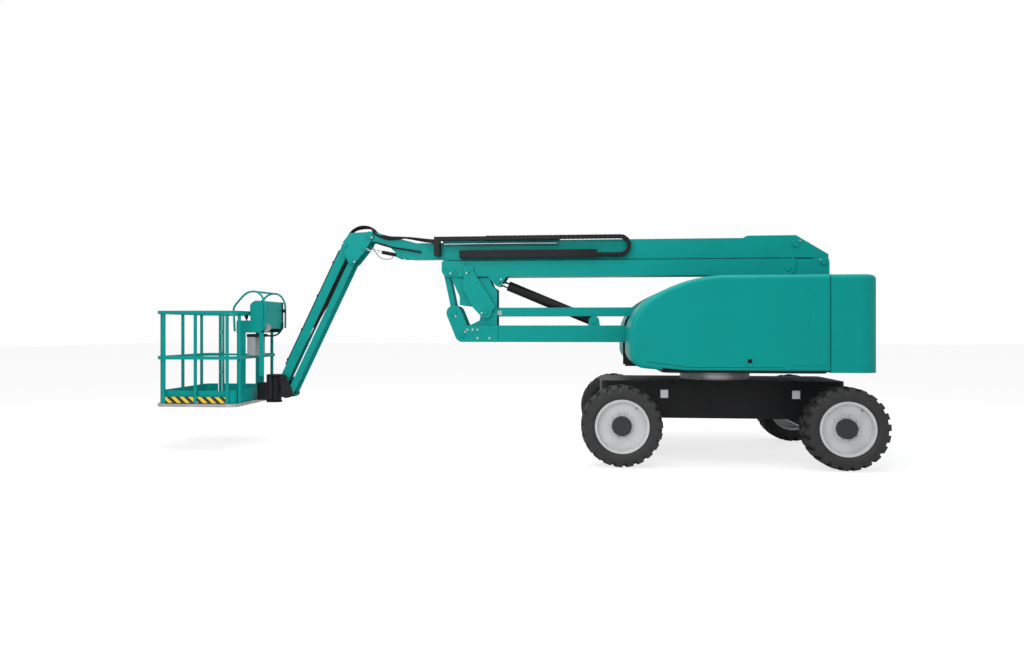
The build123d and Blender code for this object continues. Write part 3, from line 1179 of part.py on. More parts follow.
with BuildPart() as jib_arm:
    strap(JIB_TOP, JIB_FOOT, JIB_DEPTH, -JIB_OUTER, -JIB_INNER)
    mirror(about=Plane.XZ)
    jib_plane = Plane(
        origin=(SLEW_X + JIB_TOP[0], JIB_INNER, JIB_TOP[1]),
        x_dir=(cos(radians(JIB_ANGLE)), 0, sin(radians(JIB_ANGLE))),
        z_dir=(0, -1, 0),
    )
    with BuildSketch(jib_plane):
        with Locations((JIB_LENGTH / 2, -JIB_DEPTH / 2 + JIB_WEB / 2)):
            Rectangle(JIB_LENGTH - JIB_DEPTH, JIB_WEB)
    extrude(amount=2 * JIB_INNER)
    with BuildSketch(jib_plane.offset(JIB_INNER - JIB_WINDOW_HALF)):
        with Locations(((JIB_WINDOW_START + JIB_WINDOW_STOP) / 2, -JIB_DEPTH / 2 + JIB_WEB / 2)):
            Rectangle(JIB_WINDOW_STOP - JIB_WINDOW_START, 2 * JIB_WEB)
    extrude(amount=2 * JIB_WINDOW_HALF, mode=Mode.SUBTRACT)
    stubs(JIB_CYL_EYE, SMALL_PIN_RADIUS, JIB_CYL_RADIUS + RUN_GAP, JIB_OUTER)
    for out in (-1, 1):
        lug_ends = sorted((out * (JIB_CYL_RADIUS + RUN_GAP), out * JIB_INNER))
        bar(JIB_CYL_EYE, SLEEVE_RADIUS, *lug_ends)
    eye_hole(JIB_TOP, JIB_PIN_RADIUS, JIB_OUTER)
    eye_hole(JIB_FOOT, JIB_PIN_RADIUS, JIB_OUTER)
save(jib_arm, "jib_arm")

with BuildPart() as jib_link:
    for low, high in ((-JIB_LINK_OUTER, -JIB_LINK_INNER), (JIB_LINK_INNER, JIB_LINK_OUTER)):
        strap(JIB_LINK_TOP, JIB_LINK_FOOT, JIB_LINK_DEPTH, low, high)
    eye_hole(JIB_LINK_TOP, JIB_PIN_RADIUS, JIB_LINK_OUTER)
    eye_hole(JIB_LINK_FOOT, JIB_PIN_RADIUS, JIB_LINK_OUTER)
save(jib_link, "jib_link")

# Platform bracket: plates on the jib's lower pins, with a neck to the rotator

NECK_HALF = 44.0
with BuildPart() as platform_bracket:
    hull_plate(
        ((JIB_FOOT, 45), (JIB_LINK_FOOT, 45), ((JIB_LINK_FOOT[0] - 40, JIB_LINK_FOOT[1] - 10), 45)),
        -BRACKET_OUTER, -BRACKET_INNER,
    )
    stub_pairs = ((JIB_FOOT, JIB_INNER), (JIB_LINK_FOOT, JIB_LINK_INNER))
    mirror(about=Plane.XZ)
    for place, inner_y in stub_pairs:
        stubs(place, JIB_PIN_RADIUS, inner_y, BRACKET_OUTER)
    block(
        JIB_LINK_FOOT[0] - 70, JIB_LINK_FOOT[0] - 50, -BRACKET_INNER, BRACKET_INNER,
        JIB_LINK_FOOT[1] - 50, JIB_LINK_FOOT[1] + 40,
    )
    block(
        ROTATOR_X + ROTATOR_RADIUS - 8, JIB_LINK_FOOT[0] - 60, -NECK_HALF, NECK_HALF,
        JIB_LINK_FOOT[1] - 50, JIB_LINK_FOOT[1] + 40,
    )
    post(ROTATOR_X, 0, ROTATOR_RADIUS + SEAT_GAP, ROTATOR_BOTTOM, ROTATOR_TOP, mode=Mode.SUBTRACT)
save(platform_bracket, "platform_bracket")

with BuildPart() as rotator:
    post(ROTATOR_X, 0, ROTATOR_RADIUS, ROTATOR_BOTTOM, ROTATOR_TOP)
    fillet(rotator.edges().filter_by(GeomType.CIRCLE), 8)
    post(ROTATOR_X, 0, ROTATOR_SHAFT + PIN_GAP, ROTATOR_BOTTOM, ROTATOR_TOP, mode=Mode.SUBTRACT)
save(rotator, "rotator")

# Platform support: yoke round the rotator, with its shaft, bolted to the platform's back

with BuildPart() as platform_support:
    yoke_left = ROTATOR_X - SUPPORT_NEAR
    yoke_top = ROTATOR_TOP + RUN_GAP
    yoke_bottom = ROTATOR_BOTTOM - RUN_GAP
    for plate_low in (yoke_bottom - SUPPORT_PLATE, yoke_top):
        with BuildSketch(level(plate_low)):
            with Locations((ROTATOR_X, 0)):
                Circle(SUPPORT_HALF)
            with Locations(((yoke_left + ROTATOR_X) / 2, 0)):
                Rectangle(ROTATOR_X - yoke_left, 2 * SUPPORT_HALF)
        extrude(amount=SUPPORT_PLATE)
    block(
        yoke_left - SUPPORT_PLATE, yoke_left, -SUPPORT_HALF, SUPPORT_HALF,
        yoke_bottom - SUPPORT_PLATE, yoke_top + SUPPORT_PLATE,
    )
    block(
        PLATFORM_REAR + RAIL_RADIUS, yoke_left - SUPPORT_PLATE, -SUPPORT_HALF, SUPPORT_HALF,
        PLATFORM_FLOOR + FLOOR_THICK, PLATFORM_FLOOR + FLOOR_THICK + 210,
    )
    post(ROTATOR_X, 0, ROTATOR_SHAFT, yoke_bottom - SUPPORT_PLATE, yoke_top + SUPPORT_PLATE)
save(platform_support, "platform_support")

# Platform: floor, toe boards, guard rails and the swinging gate

with BuildPart() as platform_floor:
    with BuildSketch(level(PLATFORM_FLOOR)):
        with Locations(((PLATFORM_FRONT + PLATFORM_REAR) / 2, 0)):
            RectangleRounded(PLATFORM_REAR - PLATFORM_FRONT, 2 * PLATFORM_HALF, RAIL_CORNER)
    extrude(amount=FLOOR_THICK)
save(platform_floor, "platform_floor")

GATE_LOW = GATE_CENTRE - GATE_WIDTH / 2
GATE_HIGH = GATE_CENTRE + GATE_WIDTH / 2
RAIL_MIDDLE = (PLATFORM_FRONT + PLATFORM_REAR) / 2
RAIL_LENGTH = PLATFORM_REAR - PLATFORM_FRONT - 2 * RAIL_RADIUS
RAIL_SPAN = 2 * PLATFORM_HALF - 2 * RAIL_RADIUS
FLOOR_TOP = PLATFORM_FLOOR + FLOOR_THICK


def rail_ring(height):
    """Closed tube round the platform, with round corners."""
    ring_plane = level(height)
    with BuildSketch(ring_plane) as ring:
        with Locations((RAIL_MIDDLE, 0)):
            RectangleRounded(RAIL_LENGTH + 2 * RAIL_RADIUS, RAIL_SPAN + 2 * RAIL_RADIUS, RAIL_CORNER)
            RectangleRounded(
                RAIL_LENGTH - 2 * RAIL_RADIUS, RAIL_SPAN - 2 * RAIL_RADIUS, RAIL_CORNER - 2 * RAIL_RADIUS,
                mode=Mode.SUBTRACT,
            )
    extrude(ring.sketch, amount=RAIL_RADIUS, both=True)


with BuildPart() as platform_rails:
    rail_ring(PLATFORM_TOP - RAIL_RADIUS)
    rail_ring(MID_RAIL)
    post_low_x = RAIL_MIDDLE - RAIL_LENGTH / 2
    post_high_x = RAIL_MIDDLE + RAIL_LENGTH / 2
    post_y = RAIL_SPAN / 2
    for x, y in (
        (post_low_x + 90, -post_y), (RAIL_MIDDLE, -post_y), (post_high_x - 90, -post_y),
        (post_low_x, -post_y + 120), (post_low_x, 0), (post_low_x, post_y - 120),
        (post_high_x, -post_y + 120), (post_high_x, post_y - 120),
        (GATE_LOW - RAIL_RADIUS, post_y), (GATE_HIGH + RAIL_RADIUS, post_y),
    ):
        post(x, y, RAIL_RADIUS, FLOOR_TOP, PLATFORM_TOP - RAIL_RADIUS)
    block(
        GATE_LOW, GATE_HIGH, post_y - 2 * RAIL_RADIUS, post_y + 2 * RAIL_RADIUS,
        FLOOR_TOP, PLATFORM_TOP + RAIL_RADIUS, mode=Mode.SUBTRACT,
    )
save(platform_rails, "platform_rails")

with BuildPart() as toe_boards:
    with BuildSketch(level(FLOOR_TOP)):
        with Locations((RAIL_MIDDLE, 0)):
            toe_length = RAIL_LENGTH - 2 * RAIL_RADIUS - 2 * SEAT_GAP
            toe_span = RAIL_SPAN - 2 * RAIL_RADIUS - 2 * SEAT_GAP
            RectangleRounded(toe_length, toe_span, RAIL_CORNER - 2 * RAIL_RADIUS)
            RectangleRounded(
                toe_length - 2 * TOE_THICK, toe_span - 2 * TOE_THICK, RAIL_CORNER - 2 * RAIL_RADIUS - TOE_THICK,
                mode=Mode.SUBTRACT,
            )
    extrude(amount=TOE_HEIGHT)
    block(
        GATE_LOW - 2 * RAIL_RADIUS, GATE_HIGH + 2 * RAIL_RADIUS, post_y - 3 * RAIL_RADIUS, post_y,
        FLOOR_TOP, FLOOR_TOP + TOE_HEIGHT, mode=Mode.SUBTRACT,
    )
save(toe_boards, "toe_boards")

with BuildPart() as platform_gate:
    leaf_low = GATE_LOW + GATE_GAP + GATE_RADIUS
    leaf_high = GATE_HIGH - GATE_GAP - GATE_RADIUS
    leaf_bottom = FLOOR_TOP + 2 * RUN_GAP
    leaf_top = PLATFORM_TOP - GATE_RADIUS
    for x in (leaf_low, leaf_high):
        post(x, post_y, GATE_RADIUS, leaf_bottom, leaf_top)
    for z in (leaf_bottom + GATE_RADIUS, MID_RAIL, leaf_top - GATE_RADIUS):
        with BuildSketch(across(leaf_low)):
            with Locations((post_y, z)):
                Circle(GATE_BAR_RADIUS)
        extrude(amount=leaf_high - leaf_low)
    block(leaf_low, leaf_high, post_y - TOE_THICK / 2, post_y + TOE_THICK / 2, leaf_bottom, FLOOR_TOP + TOE_HEIGHT)
save(platform_gate, "platform_gate")

# Control console and its cover on the rail next to the jib

with BuildPart() as control_console:
    block(
        PLATFORM_REAR - 130, PLATFORM_REAR + 150, CONSOLE_Y - 200, CONSOLE_Y + 200,
        PLATFORM_TOP - 2 * RAIL_RADIUS - 120, PLATFORM_TOP - 2 * RAIL_RADIUS - SEAT_GAP,
    )
save(control_console, "control_console")

with BuildPart() as console_cover:
    with BuildSketch(side(CONSOLE_Y + 190)):
        Polygon(
            (PLATFORM_REAR - 20, PLATFORM_TOP + SEAT_GAP), (PLATFORM_REAR + 320, PLATFORM_TOP + SEAT_GAP),
            (PLATFORM_REAR + 320, PLATFORM_TOP + 120), (PLATFORM_REAR + 60, PLATFORM_TOP + 120),
            align=None,
        )
    extrude(amount=380)
save(console_cover, "console_cover")
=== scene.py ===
import bmesh
import bpy
import json
import math
from mathutils import Matrix, Vector

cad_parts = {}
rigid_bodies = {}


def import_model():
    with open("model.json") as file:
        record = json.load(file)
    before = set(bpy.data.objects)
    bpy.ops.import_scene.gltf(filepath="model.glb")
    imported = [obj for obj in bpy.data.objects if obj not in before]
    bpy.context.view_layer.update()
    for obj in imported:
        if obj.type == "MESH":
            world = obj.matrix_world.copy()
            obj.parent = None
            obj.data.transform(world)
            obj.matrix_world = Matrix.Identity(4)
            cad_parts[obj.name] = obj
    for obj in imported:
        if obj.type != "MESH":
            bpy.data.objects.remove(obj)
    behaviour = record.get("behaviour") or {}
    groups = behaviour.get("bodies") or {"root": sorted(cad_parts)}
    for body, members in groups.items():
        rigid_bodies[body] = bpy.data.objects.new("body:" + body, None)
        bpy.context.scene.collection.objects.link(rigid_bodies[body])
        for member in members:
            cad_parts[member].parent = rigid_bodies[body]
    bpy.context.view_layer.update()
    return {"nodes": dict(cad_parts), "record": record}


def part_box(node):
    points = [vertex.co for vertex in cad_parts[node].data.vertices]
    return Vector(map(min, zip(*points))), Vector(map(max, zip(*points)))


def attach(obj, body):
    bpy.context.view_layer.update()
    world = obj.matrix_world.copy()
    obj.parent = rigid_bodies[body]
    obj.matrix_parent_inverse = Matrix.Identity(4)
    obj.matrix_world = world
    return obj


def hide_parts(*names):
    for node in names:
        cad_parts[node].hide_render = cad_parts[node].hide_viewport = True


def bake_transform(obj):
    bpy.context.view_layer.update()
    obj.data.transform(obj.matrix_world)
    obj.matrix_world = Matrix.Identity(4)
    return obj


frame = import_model()

bearing_low, bearing_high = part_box("slew_bearing")
SLEW = (bearing_low.x + bearing_high.x) / 2
NODES = frame["nodes"]
SIDES = (("near", -1), ("far", 1))


def at(x, y, z):
    """A point given from the slew axis, in metres."""
    return Vector((SLEW + x, y, z))


# Materials

PAINT_SHINE = 0.12
CLOUD_SHARE = 0.64


def tree_of(name):
    """Empty material with one principled shader."""
    mat = bpy.data.materials.new(name)
    mat.use_nodes = True
    nt = mat.node_tree
    nt.nodes.clear()
    out = nt.nodes.new("ShaderNodeOutputMaterial")
    bsdf = nt.nodes.new("ShaderNodeBsdfPrincipled")
    nt.links.new(bsdf.outputs[0], out.inputs[0])
    return mat, nt, bsdf


def noise(nt, scale, detail=4.0, rough=0.55):
    coord = nt.nodes.new("ShaderNodeTexCoord")
    tex = nt.nodes.new("ShaderNodeTexNoise")
    tex.inputs["Scale"].default_value = scale
    tex.inputs["Detail"].default_value = detail
    tex.inputs["Roughness"].default_value = rough
    nt.links.new(coord.outputs["Object"], tex.inputs["Vector"])
    return tex


def ramp(nt, source, low, high, a, b):
    """The source's stretch from low to high, turned into a to b."""
    node = nt.nodes.new("ShaderNodeMapRange")
    node.inputs["From Min"].default_value = low
    node.inputs["From Max"].default_value = high
    node.inputs["To Min"].default_value = a
    node.inputs["To Max"].default_value = b
    nt.links.new(source, node.inputs["Value"])
    return node.outputs[0]


def mix_colour(nt, factor, a, b):
    node = nt.nodes.new("ShaderNodeMix")
    node.data_type = "RGBA"
    for socket, value in ((node.inputs[6], a), (node.inputs[7], b)):
        if hasattr(value, "links"):
            nt.links.new(value, socket)
        else:
            socket.default_value = (*value, 1)
    nt.links.new(factor, node.inputs[0])
    return node.outputs[2]


def bumped(nt, bsdf, height, strength, distance, round_edge):
    """Bump from a height, over edges that look rounded by this radius."""
    bump = nt.nodes.new("ShaderNodeBump")
    bump.inputs["Strength"].default_value = strength
    bump.inputs["Distance"].default_value = distance
    nt.links.new(height, bump.inputs["Height"])
    if round_edge:
        bevel = nt.nodes.new("ShaderNodeBevel")
        bevel.samples = 3
        bevel.inputs["Radius"].default_value = round_edge
        nt.links.new(bevel.outputs[0], bump.inputs["Normal"])
    nt.links.new(bump.outputs[0], bsdf.inputs["Normal"])


def surface(name, colour, dark, rough, metal=0.0, grain=160.0, bump=0.06, edge=0.004):
    """Painted, moulded or bare surface: clouded colour, mottled sheen and a fine grain."""
    mat, nt, bsdf = tree_of(name)
    cloud = noise(nt, 2.3, 5.0)
    fine = noise(nt, grain, 3.0)
    patch = ramp(nt, cloud.outputs[0], 0.35, 0.7, 0.0, CLOUD_SHARE)
    nt.links.new(mix_colour(nt, patch, colour, dark), bsdf.inputs["Base Color"])
    nt.links.new(ramp(nt, cloud.outputs[0], 0.3, 0.75, rough, rough + 0.12), bsdf.inputs["Roughness"])
    bsdf.inputs["Metallic"].default_value = metal
    bsdf.inputs["Specular IOR Level"].default_value = PAINT_SHINE
    bumped(nt, bsdf, fine.outputs[0], bump, 0.002, edge)
    return mat


TEAL = (0.0, 0.262, 0.24)
TEAL_DARK = (0.0, 0.235, 0.214)
boom_paint = surface("boom_paint", TEAL, TEAL_DARK, 0.34, grain=240.0, bump=0.05)
cover_paint = surface("cover_plastic", TEAL, TEAL_DARK, 0.3, grain=420.0, bump=0.03, edge=0.006)
weight_paint = surface("weight_paint", TEAL, TEAL_DARK, 0.36, grain=60.0, bump=0.12, edge=0.006)
chassis_paint = surface(
    "chassis_paint", (0.012, 0.0125, 0.014), (0.02, 0.02, 0.021), 0.38, grain=180.0, bump=0.08
)
black_paint = surface("black_paint", (0.01, 0.01, 0.011), (0.018, 0.018, 0.018), 0.3, grain=200.0, bump=0.05)
dark_plastic = surface("dark_plastic", (0.011, 0.011, 0.012), (0.02, 0.02, 0.02), 0.5, grain=500.0, bump=0.1)
rubber_hose = surface(
    "rubber_hose", (0.009, 0.009, 0.0095), (0.016, 0.016, 0.016), 0.55, grain=700.0, bump=0.1
)
light_plastic = surface("light_plastic", (0.5, 0.51, 0.52), (0.42, 0.43, 0.44), 0.45, grain=420.0, bump=0.05)
blank_label = surface("blank_label", (0.78, 0.79, 0.8), (0.7, 0.71, 0.72), 0.4, grain=520.0, bump=0.02)
light_grey = surface(
    "light_grey_plastic", (0.33, 0.35, 0.36), (0.26, 0.28, 0.29), 0.5, grain=420.0, bump=0.05
)
grey_label = surface("grey_label", (0.36, 0.42, 0.42), (0.3, 0.36, 0.36), 0.4, grain=520.0, bump=0.02)
bare_steel = surface(
    "bare_steel", (0.42, 0.42, 0.43), (0.3, 0.3, 0.31), 0.32, metal=1.0, grain=320.0, bump=0.05
)
zinc = surface("zinc_bolt", (0.55, 0.54, 0.5), (0.42, 0.41, 0.38), 0.3, metal=1.0, grain=420.0, bump=0.05)
chrome = surface("rod_chrome", (0.75, 0.76, 0.78), (0.66, 0.67, 0.69), 0.08, metal=1.0, grain=900.0, bump=0.01)
yellow = surface("yellow_plastic", (0.72, 0.5, 0.02), (0.6, 0.4, 0.02), 0.4, grain=420.0, bump=0.04)
red = surface("red_plastic", (0.5, 0.02, 0.015), (0.4, 0.015, 0.012), 0.35, grain=420.0, bump=0.04)


def rubber():
    """Tyre rubber with dust in patches."""
    mat, nt, bsdf = tree_of("tyre_rubber")
    dust = noise(nt, 9.0, 6.0, 0.65)
    fine = noise(nt, 330.0, 3.0)
    patch = ramp(nt, dust.outputs[0], 0.42, 0.75, 0.0, 0.7)
    colour = mix_colour(nt, patch, (0.013, 0.013, 0.0135), (0.035, 0.034, 0.032))
    nt.links.new(colour, bsdf.inputs["Base Color"])
    nt.links.new(ramp(nt, dust.outputs[0], 0.3, 0.8, 0.6, 0.85), bsdf.inputs["Roughness"])
    bumped(nt, bsdf, fine.outputs[0], 0.2, 0.002, 0.003)
    return mat


HUB_COLOUR_RADIUS = 0.102


def rim_finish():
    """Silver grey paint, with a black drive hub within a radius of the wheel's axis."""
    mat, nt, bsdf = tree_of("rim_paint")
    cloud = noise(nt, 6.0, 5.0)
    fine = noise(nt, 260.0, 3.0)
    distance = nt.nodes.new("ShaderNodeAttribute")
    distance.attribute_name = "hub_distance"
    inside = ramp(
        nt, distance.outputs["Fac"], HUB_COLOUR_RADIUS - 0.001, HUB_COLOUR_RADIUS + 0.001, 1.0, 0.0
    )
    patch = ramp(nt, cloud.outputs[0], 0.35, 0.7, 0.0, 0.8)
    silver = mix_colour(nt, patch, (0.56, 0.57, 0.58), (0.44, 0.45, 0.46))
    nt.links.new(mix_colour(nt, inside, silver, (0.012, 0.012, 0.013)), bsdf.inputs["Base Color"])
    nt.links.new(ramp(nt, cloud.outputs[0], 0.3, 0.7, 0.3, 0.45), bsdf.inputs["Roughness"])
    bumped(nt, bsdf, fine.outputs[0], 0.05, 0.001, 0.003)
    return mat


def studded_plate():
    """Aluminium floor plate with a raised pattern."""
    mat, nt, bsdf = tree_of("floor_aluminium")
    coord = nt.nodes.new("ShaderNodeTexCoord")
    studs = nt.nodes.new("ShaderNodeTexVoronoi")
    studs.inputs["Scale"].default_value = 42.0
    nt.links.new(coord.outputs["Object"], studs.inputs["Vector"])
    cloud = noise(nt, 12.0, 4.0)
    patch = ramp(nt, cloud.outputs[0], 0.3, 0.7, 0.0, 0.8)
    nt.links.new(mix_colour(nt, patch, (0.5, 0.51, 0.52), (0.34, 0.35, 0.36)), bsdf.inputs["Base Color"])
    bsdf.inputs["Metallic"].default_value = 0.9
    bsdf.inputs["Roughness"].default_value = 0.42
    bumped(nt, bsdf, studs.outputs[0], 0.5, 0.003, 0.0)
    return mat


STRIPES_PER_METRE = 9.5
STRIPE_SLANT = 1.1


def hazard():
    """Black and yellow slanted stripes, by position along the platform's edge."""
    mat, nt, bsdf = tree_of("hazard_tape")
    coord = nt.nodes.new("ShaderNodeTexCoord")
    split = nt.nodes.new("ShaderNodeSeparateXYZ")
    nt.links.new(coord.outputs["Object"], split.inputs[0])

    def math_node(kind, *values):
        node = nt.nodes.new("ShaderNodeMath")
        node.operation = kind
        for socket, value in zip(node.inputs, values):
            if hasattr(value, "links"):
                nt.links.new(value, socket)
            else:
                socket.default_value = value
        return node.outputs[0]

    run = math_node("ADD", split.outputs[0], split.outputs[1])
    slant = math_node("ADD", run, math_node("MULTIPLY", split.outputs[2], STRIPE_SLANT))
    band = math_node("FRACT", math_node("MULTIPLY", slant, STRIPES_PER_METRE))
    black = math_node("GREATER_THAN", band, 0.5)
    wear = noise(nt, 160.0, 5.0)
    worn = ramp(nt, wear.outputs[0], 0.62, 0.72, 0.0, 0.3)
    stripe = mix_colour(nt, black, (0.75, 0.52, 0.02), (0.012, 0.012, 0.012))
    nt.links.new(mix_colour(nt, worn, stripe, (0.08, 0.08, 0.07)), bsdf.inputs["Base Color"])
    bsdf.inputs["Roughness"].default_value = 0.42
    bumped(nt, bsdf, wear.outputs[0], 0.05, 0.001, 0.0)
    return mat


tyre_rubber = rubber()
rim_paint = rim_finish()
floor_plate = studded_plate()
hazard_tape = hazard()

BY_SLOT = {
    "boom_paint": boom_paint, "chassis_paint": chassis_paint, "black_paint": black_paint,
    "rim_paint": rim_paint, "weight_paint": weight_paint, "cover_plastic": cover_paint,
    "tyre_rubber": tyre_rubber, "bare_steel": bare_steel, "rod_chrome": chrome,
    "dark_plastic": dark_plastic, "floor_aluminium": floor_plate, "light_plastic": light_plastic,
}
for part in frame["record"]["subparts"]:
    node = NODES[part["node"]]
    node.data.materials.clear()
    node.data.materials.append(BY_SLOT[part["material_slot"]])


# Mesh tools

BOX_FACES = ((0, 1, 3, 2), (4, 6, 7, 5), (0, 4, 5, 1), (2, 3, 7, 6), (0, 2, 6, 4), (1, 5, 7, 3))


def put(bm, name, mat, body, bevel=0.0, segments=2, smooth=False):
    """Mesh object from a bmesh, riding a body."""
    bmesh.ops.recalc_face_normals(bm, faces=bm.faces)
    mesh = bpy.data.meshes.new(name)
    bm.to_mesh(mesh)
    bm.free()
    obj = bpy.data.objects.new(name, mesh)
    bpy.context.scene.collection.objects.link(obj)
    mesh.materials.append(mat)
    if smooth:
        for poly in mesh.polygons:
            poly.use_smooth = True
    if bevel:
        mod = obj.modifiers.new("edge", "BEVEL")
        mod.width = bevel
        mod.segments = segments
        mod.limit_method = "ANGLE"
        mod.angle_limit = math.radians(38)
    if body:
        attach(obj, body)
    return obj


def add_block(bm, corners):
    """Closed block from eight corners, with the last direction turning fastest."""
    verts = [bm.verts.new(corner) for corner in corners]
    for face in BOX_FACES:
        bm.faces.new([verts[i] for i in face])


def add_box(bm, low, high):
    add_block(bm, [
        (x, y, z) for x in (low[0], high[0]) for y in (low[1], high[1]) for z in (low[2], high[2])
    ])


def bridge(bm, rings):
    """Skin between rings of as many vertices."""
    count = len(rings[0])
    for low, high in zip(rings, rings[1:]):
        for i in range(count):
            j = (i + 1) % count
            bm.faces.new((low[i], low[j], high[j], high[i]))


def add_prism(bm, outline, y_low, y_high):
    """Solid plate from an outline of (x from the slew axis, height)."""
    near = [bm.verts.new(at(x, y_low, z)) for x, z in outline]
    far = [bm.verts.new(at(x, y_high, z)) for x, z in outline]
    bm.faces.new(near)
    bm.faces.new(list(reversed(far)))
    bridge(bm, (near, far))


def add_plate(bm, outline, y_one, y_other):
    """Plate between two places across the machine, given in either order."""
    add_prism(bm, outline, min(y_one, y_other), max(y_one, y_other))


def add_ring(bm, base, across, other, radius, sides, turn=0.0):
    return [
        bm.verts.new(base + (across * math.cos(a + turn) + other * math.sin(a + turn)) * radius)
        for a in (math.tau * i / sides for i in range(sides))
    ]


def frame_about(direction):
    """Unit vectors along a direction and across it."""
    axis = Vector(direction).normalized()
    across = axis.orthogonal().normalized()
    return axis, across, axis.cross(across)


def add_disc(bm, centre, direction, profile, sides=24):
    """Turned piece: profile of (distance along the direction, radius), closed by flat caps."""
    axis, across, other = frame_about(direction)
    rings = [
        add_ring(bm, Vector(centre) + axis * along, across, other, radius, sides) for along, radius in profile
    ]
    bridge(bm, rings)
    bm.faces.new(list(reversed(rings[0])))
    bm.faces.new(rings[-1])


def add_hex(bm, centre, direction, radius, height, turn=0.0):
    """Bolt head on a washer."""
    washer_radius, washer_height = radius * 1.45, height * 0.2
    add_disc(bm, centre, direction, ((0, washer_radius), (washer_height, washer_radius)), 16)
    axis, across, other = frame_about(direction)
    head = ((washer_height, radius), (height * 0.9, radius), (height, radius * 0.85))
    rings = [add_ring(bm, Vector(centre) + axis * along, across, other, r, 6, turn) for along, r in head]
    bridge(bm, rings)
    bm.faces.new(rings[-1])


def smooth_path(points, step=0.02):
    """Points along a Catmull-Rom curve through the given ones."""
    pts = [Vector(p) for p in points]
    pts = [pts[0] * 2 - pts[1]] + pts + [pts[-1] * 2 - pts[-2]]
    out = []
    for a, b, c, d in zip(pts, pts[1:], pts[2:], pts[3:]):
        count = max(2, int((c - b).length / step))
        bend = 2 * a - 5 * b + 4 * c - d
        twist = 3 * b - a - 3 * c + d
        for i in range(count):
            t = i / count
            out.append(0.5 * (2 * b + (c - a) * t + bend * t ** 2 + twist * t ** 3))
    out.append(pts[-2])
    return out


def add_tube(bm, path, radius, sides=12, ridge=0.0, pitch=0.0):
    """Round hose along a path, with rings raised at a pitch where it is corrugated."""
    tangent = (path[1] - path[0]).normalized()
    normal = tangent.orthogonal().normalized()
    rings = []
    run = 0.0
    for i, point in enumerate(path):
        if i:
            run += (point - path[i - 1]).length
        ahead = (path[min(i + 1, len(path) - 1)] - path[max(i - 1, 0)]).normalized()
        normal = (tangent.rotation_difference(ahead) @ normal).normalized()
        tangent = ahead
        raised = pitch and (run / pitch) % 1.0 < 0.5
        ring_radius = radius + (ridge if raised else 0.0)
        rings.append(add_ring(bm, point, normal, tangent.cross(normal), ring_radius, sides))
    bridge(bm, rings)
    bm.faces.new(list(reversed(rings[0])))
    bm.faces.new(rings[-1])


def hose(name, points, radius, body, mat=rubber_hose, ridge=0.0, pitch=0.0, step=0.02, sides=12):
    bm = bmesh.new()
    add_tube(bm, smooth_path(points, step), radius, sides, ridge, pitch)
    return put(bm, name, mat, body, smooth=True)


def rounded(points, radii, steps=5):
    """Outline with its corners rounded, each by its own radius."""
    out = []
    count = len(points)
    for k, (corner, radius) in enumerate(zip(points, radii)):
        here = Vector(corner)
        if not radius:
            out.append(tuple(here))
            continue
        start = here + (Vector(points[k - 1]) - here).normalized() * radius
        stop = here + (Vector(points[(k + 1) % count]) - here).normalized() * radius
        for n in range(steps + 1):
            t = n / steps
            out.append(tuple(start * (1 - t) ** 2 + here * 2 * t * (1 - t) + stop * t * t))
    return out


# Wheels

AXLE_X = 1.115
WHEEL_Y = 1.0
TYRE_RADIUS = 0.42
TYRE_HALF = 0.155
BEAD_RADIUS = 0.2725
TYRE_SIDES = 72
LUG_PAIRS = 22
LUG_SLANT = 0.03
# half of the carcass's section, from bead to crown, as (radius, distance from the middle)
CARCASS = (
    (BEAD_RADIUS, 0.112), (0.288, 0.14), (0.31, 0.152), (0.34, TYRE_HALF), (0.368, 0.15), (0.385, 0.135),
    (0.393, 0.1), (0.396, 0.05),
)
# one lug from the crown over the shoulder, as (distance from the middle, top radius, foot radius, width)
LUG = (
    (-0.012, 0.418, 0.385, 0.055), (0.065, TYRE_RADIUS, 0.385, 0.062), (0.125, 0.414, 0.38, 0.066),
    (0.152, 0.398, 0.362, 0.068), (0.1535, 0.355, 0.34, 0.05),
)


def around(centre, radius, angle, y=0.0):
    """Point at a radius and an angle about a wheel's axis."""
    return centre + Vector((radius * math.cos(angle), y, radius * math.sin(angle)))


def add_lug(bm, centre, angle, edge):
    sections = []
    for y, top, foot, width in LUG:
        shift = -LUG_SLANT * (y / TYRE_HALF) * edge
        half = width / 2
        sections.append([
            bm.verts.new(around(centre, r, angle + (w + shift) / TYRE_RADIUS, y * edge))
            for r, w in ((foot, half * 1.1), (top, half), (top, -half), (foot, -half * 1.1))
        ])
    bridge(bm, sections)
    bm.faces.new(sections[0])
    bm.faces.new(list(reversed(sections[-1])))


def tyre_mesh(centre, name, body):
    """Carcass turned about the axle, with staggered chunky lugs that run over the shoulder."""
    bm = bmesh.new()
    profile = [(r, -y) for r, y in CARCASS] + [(r, y) for r, y in reversed(CARCASS)]
    rings = []
    for i in range(TYRE_SIDES):
        rings.append([bm.verts.new(around(centre, r, math.tau * i / TYRE_SIDES, y)) for r, y in profile])
    bridge(bm, rings + rings[:1])
    for i in range(LUG_PAIRS):
        for edge in (-1, 1):
            add_lug(bm, centre, math.tau * (i + (0.5 if edge > 0 else 0.0)) / LUG_PAIRS, edge)
    return put(bm, name, tyre_rubber, body)


HUB_FACE = 0.077
HUB_BOLTS = 8
HUB_BOLT_CIRCLE = 0.078
VALVE_CIRCLE = 0.235
VALVE_ANGLE = 0.9

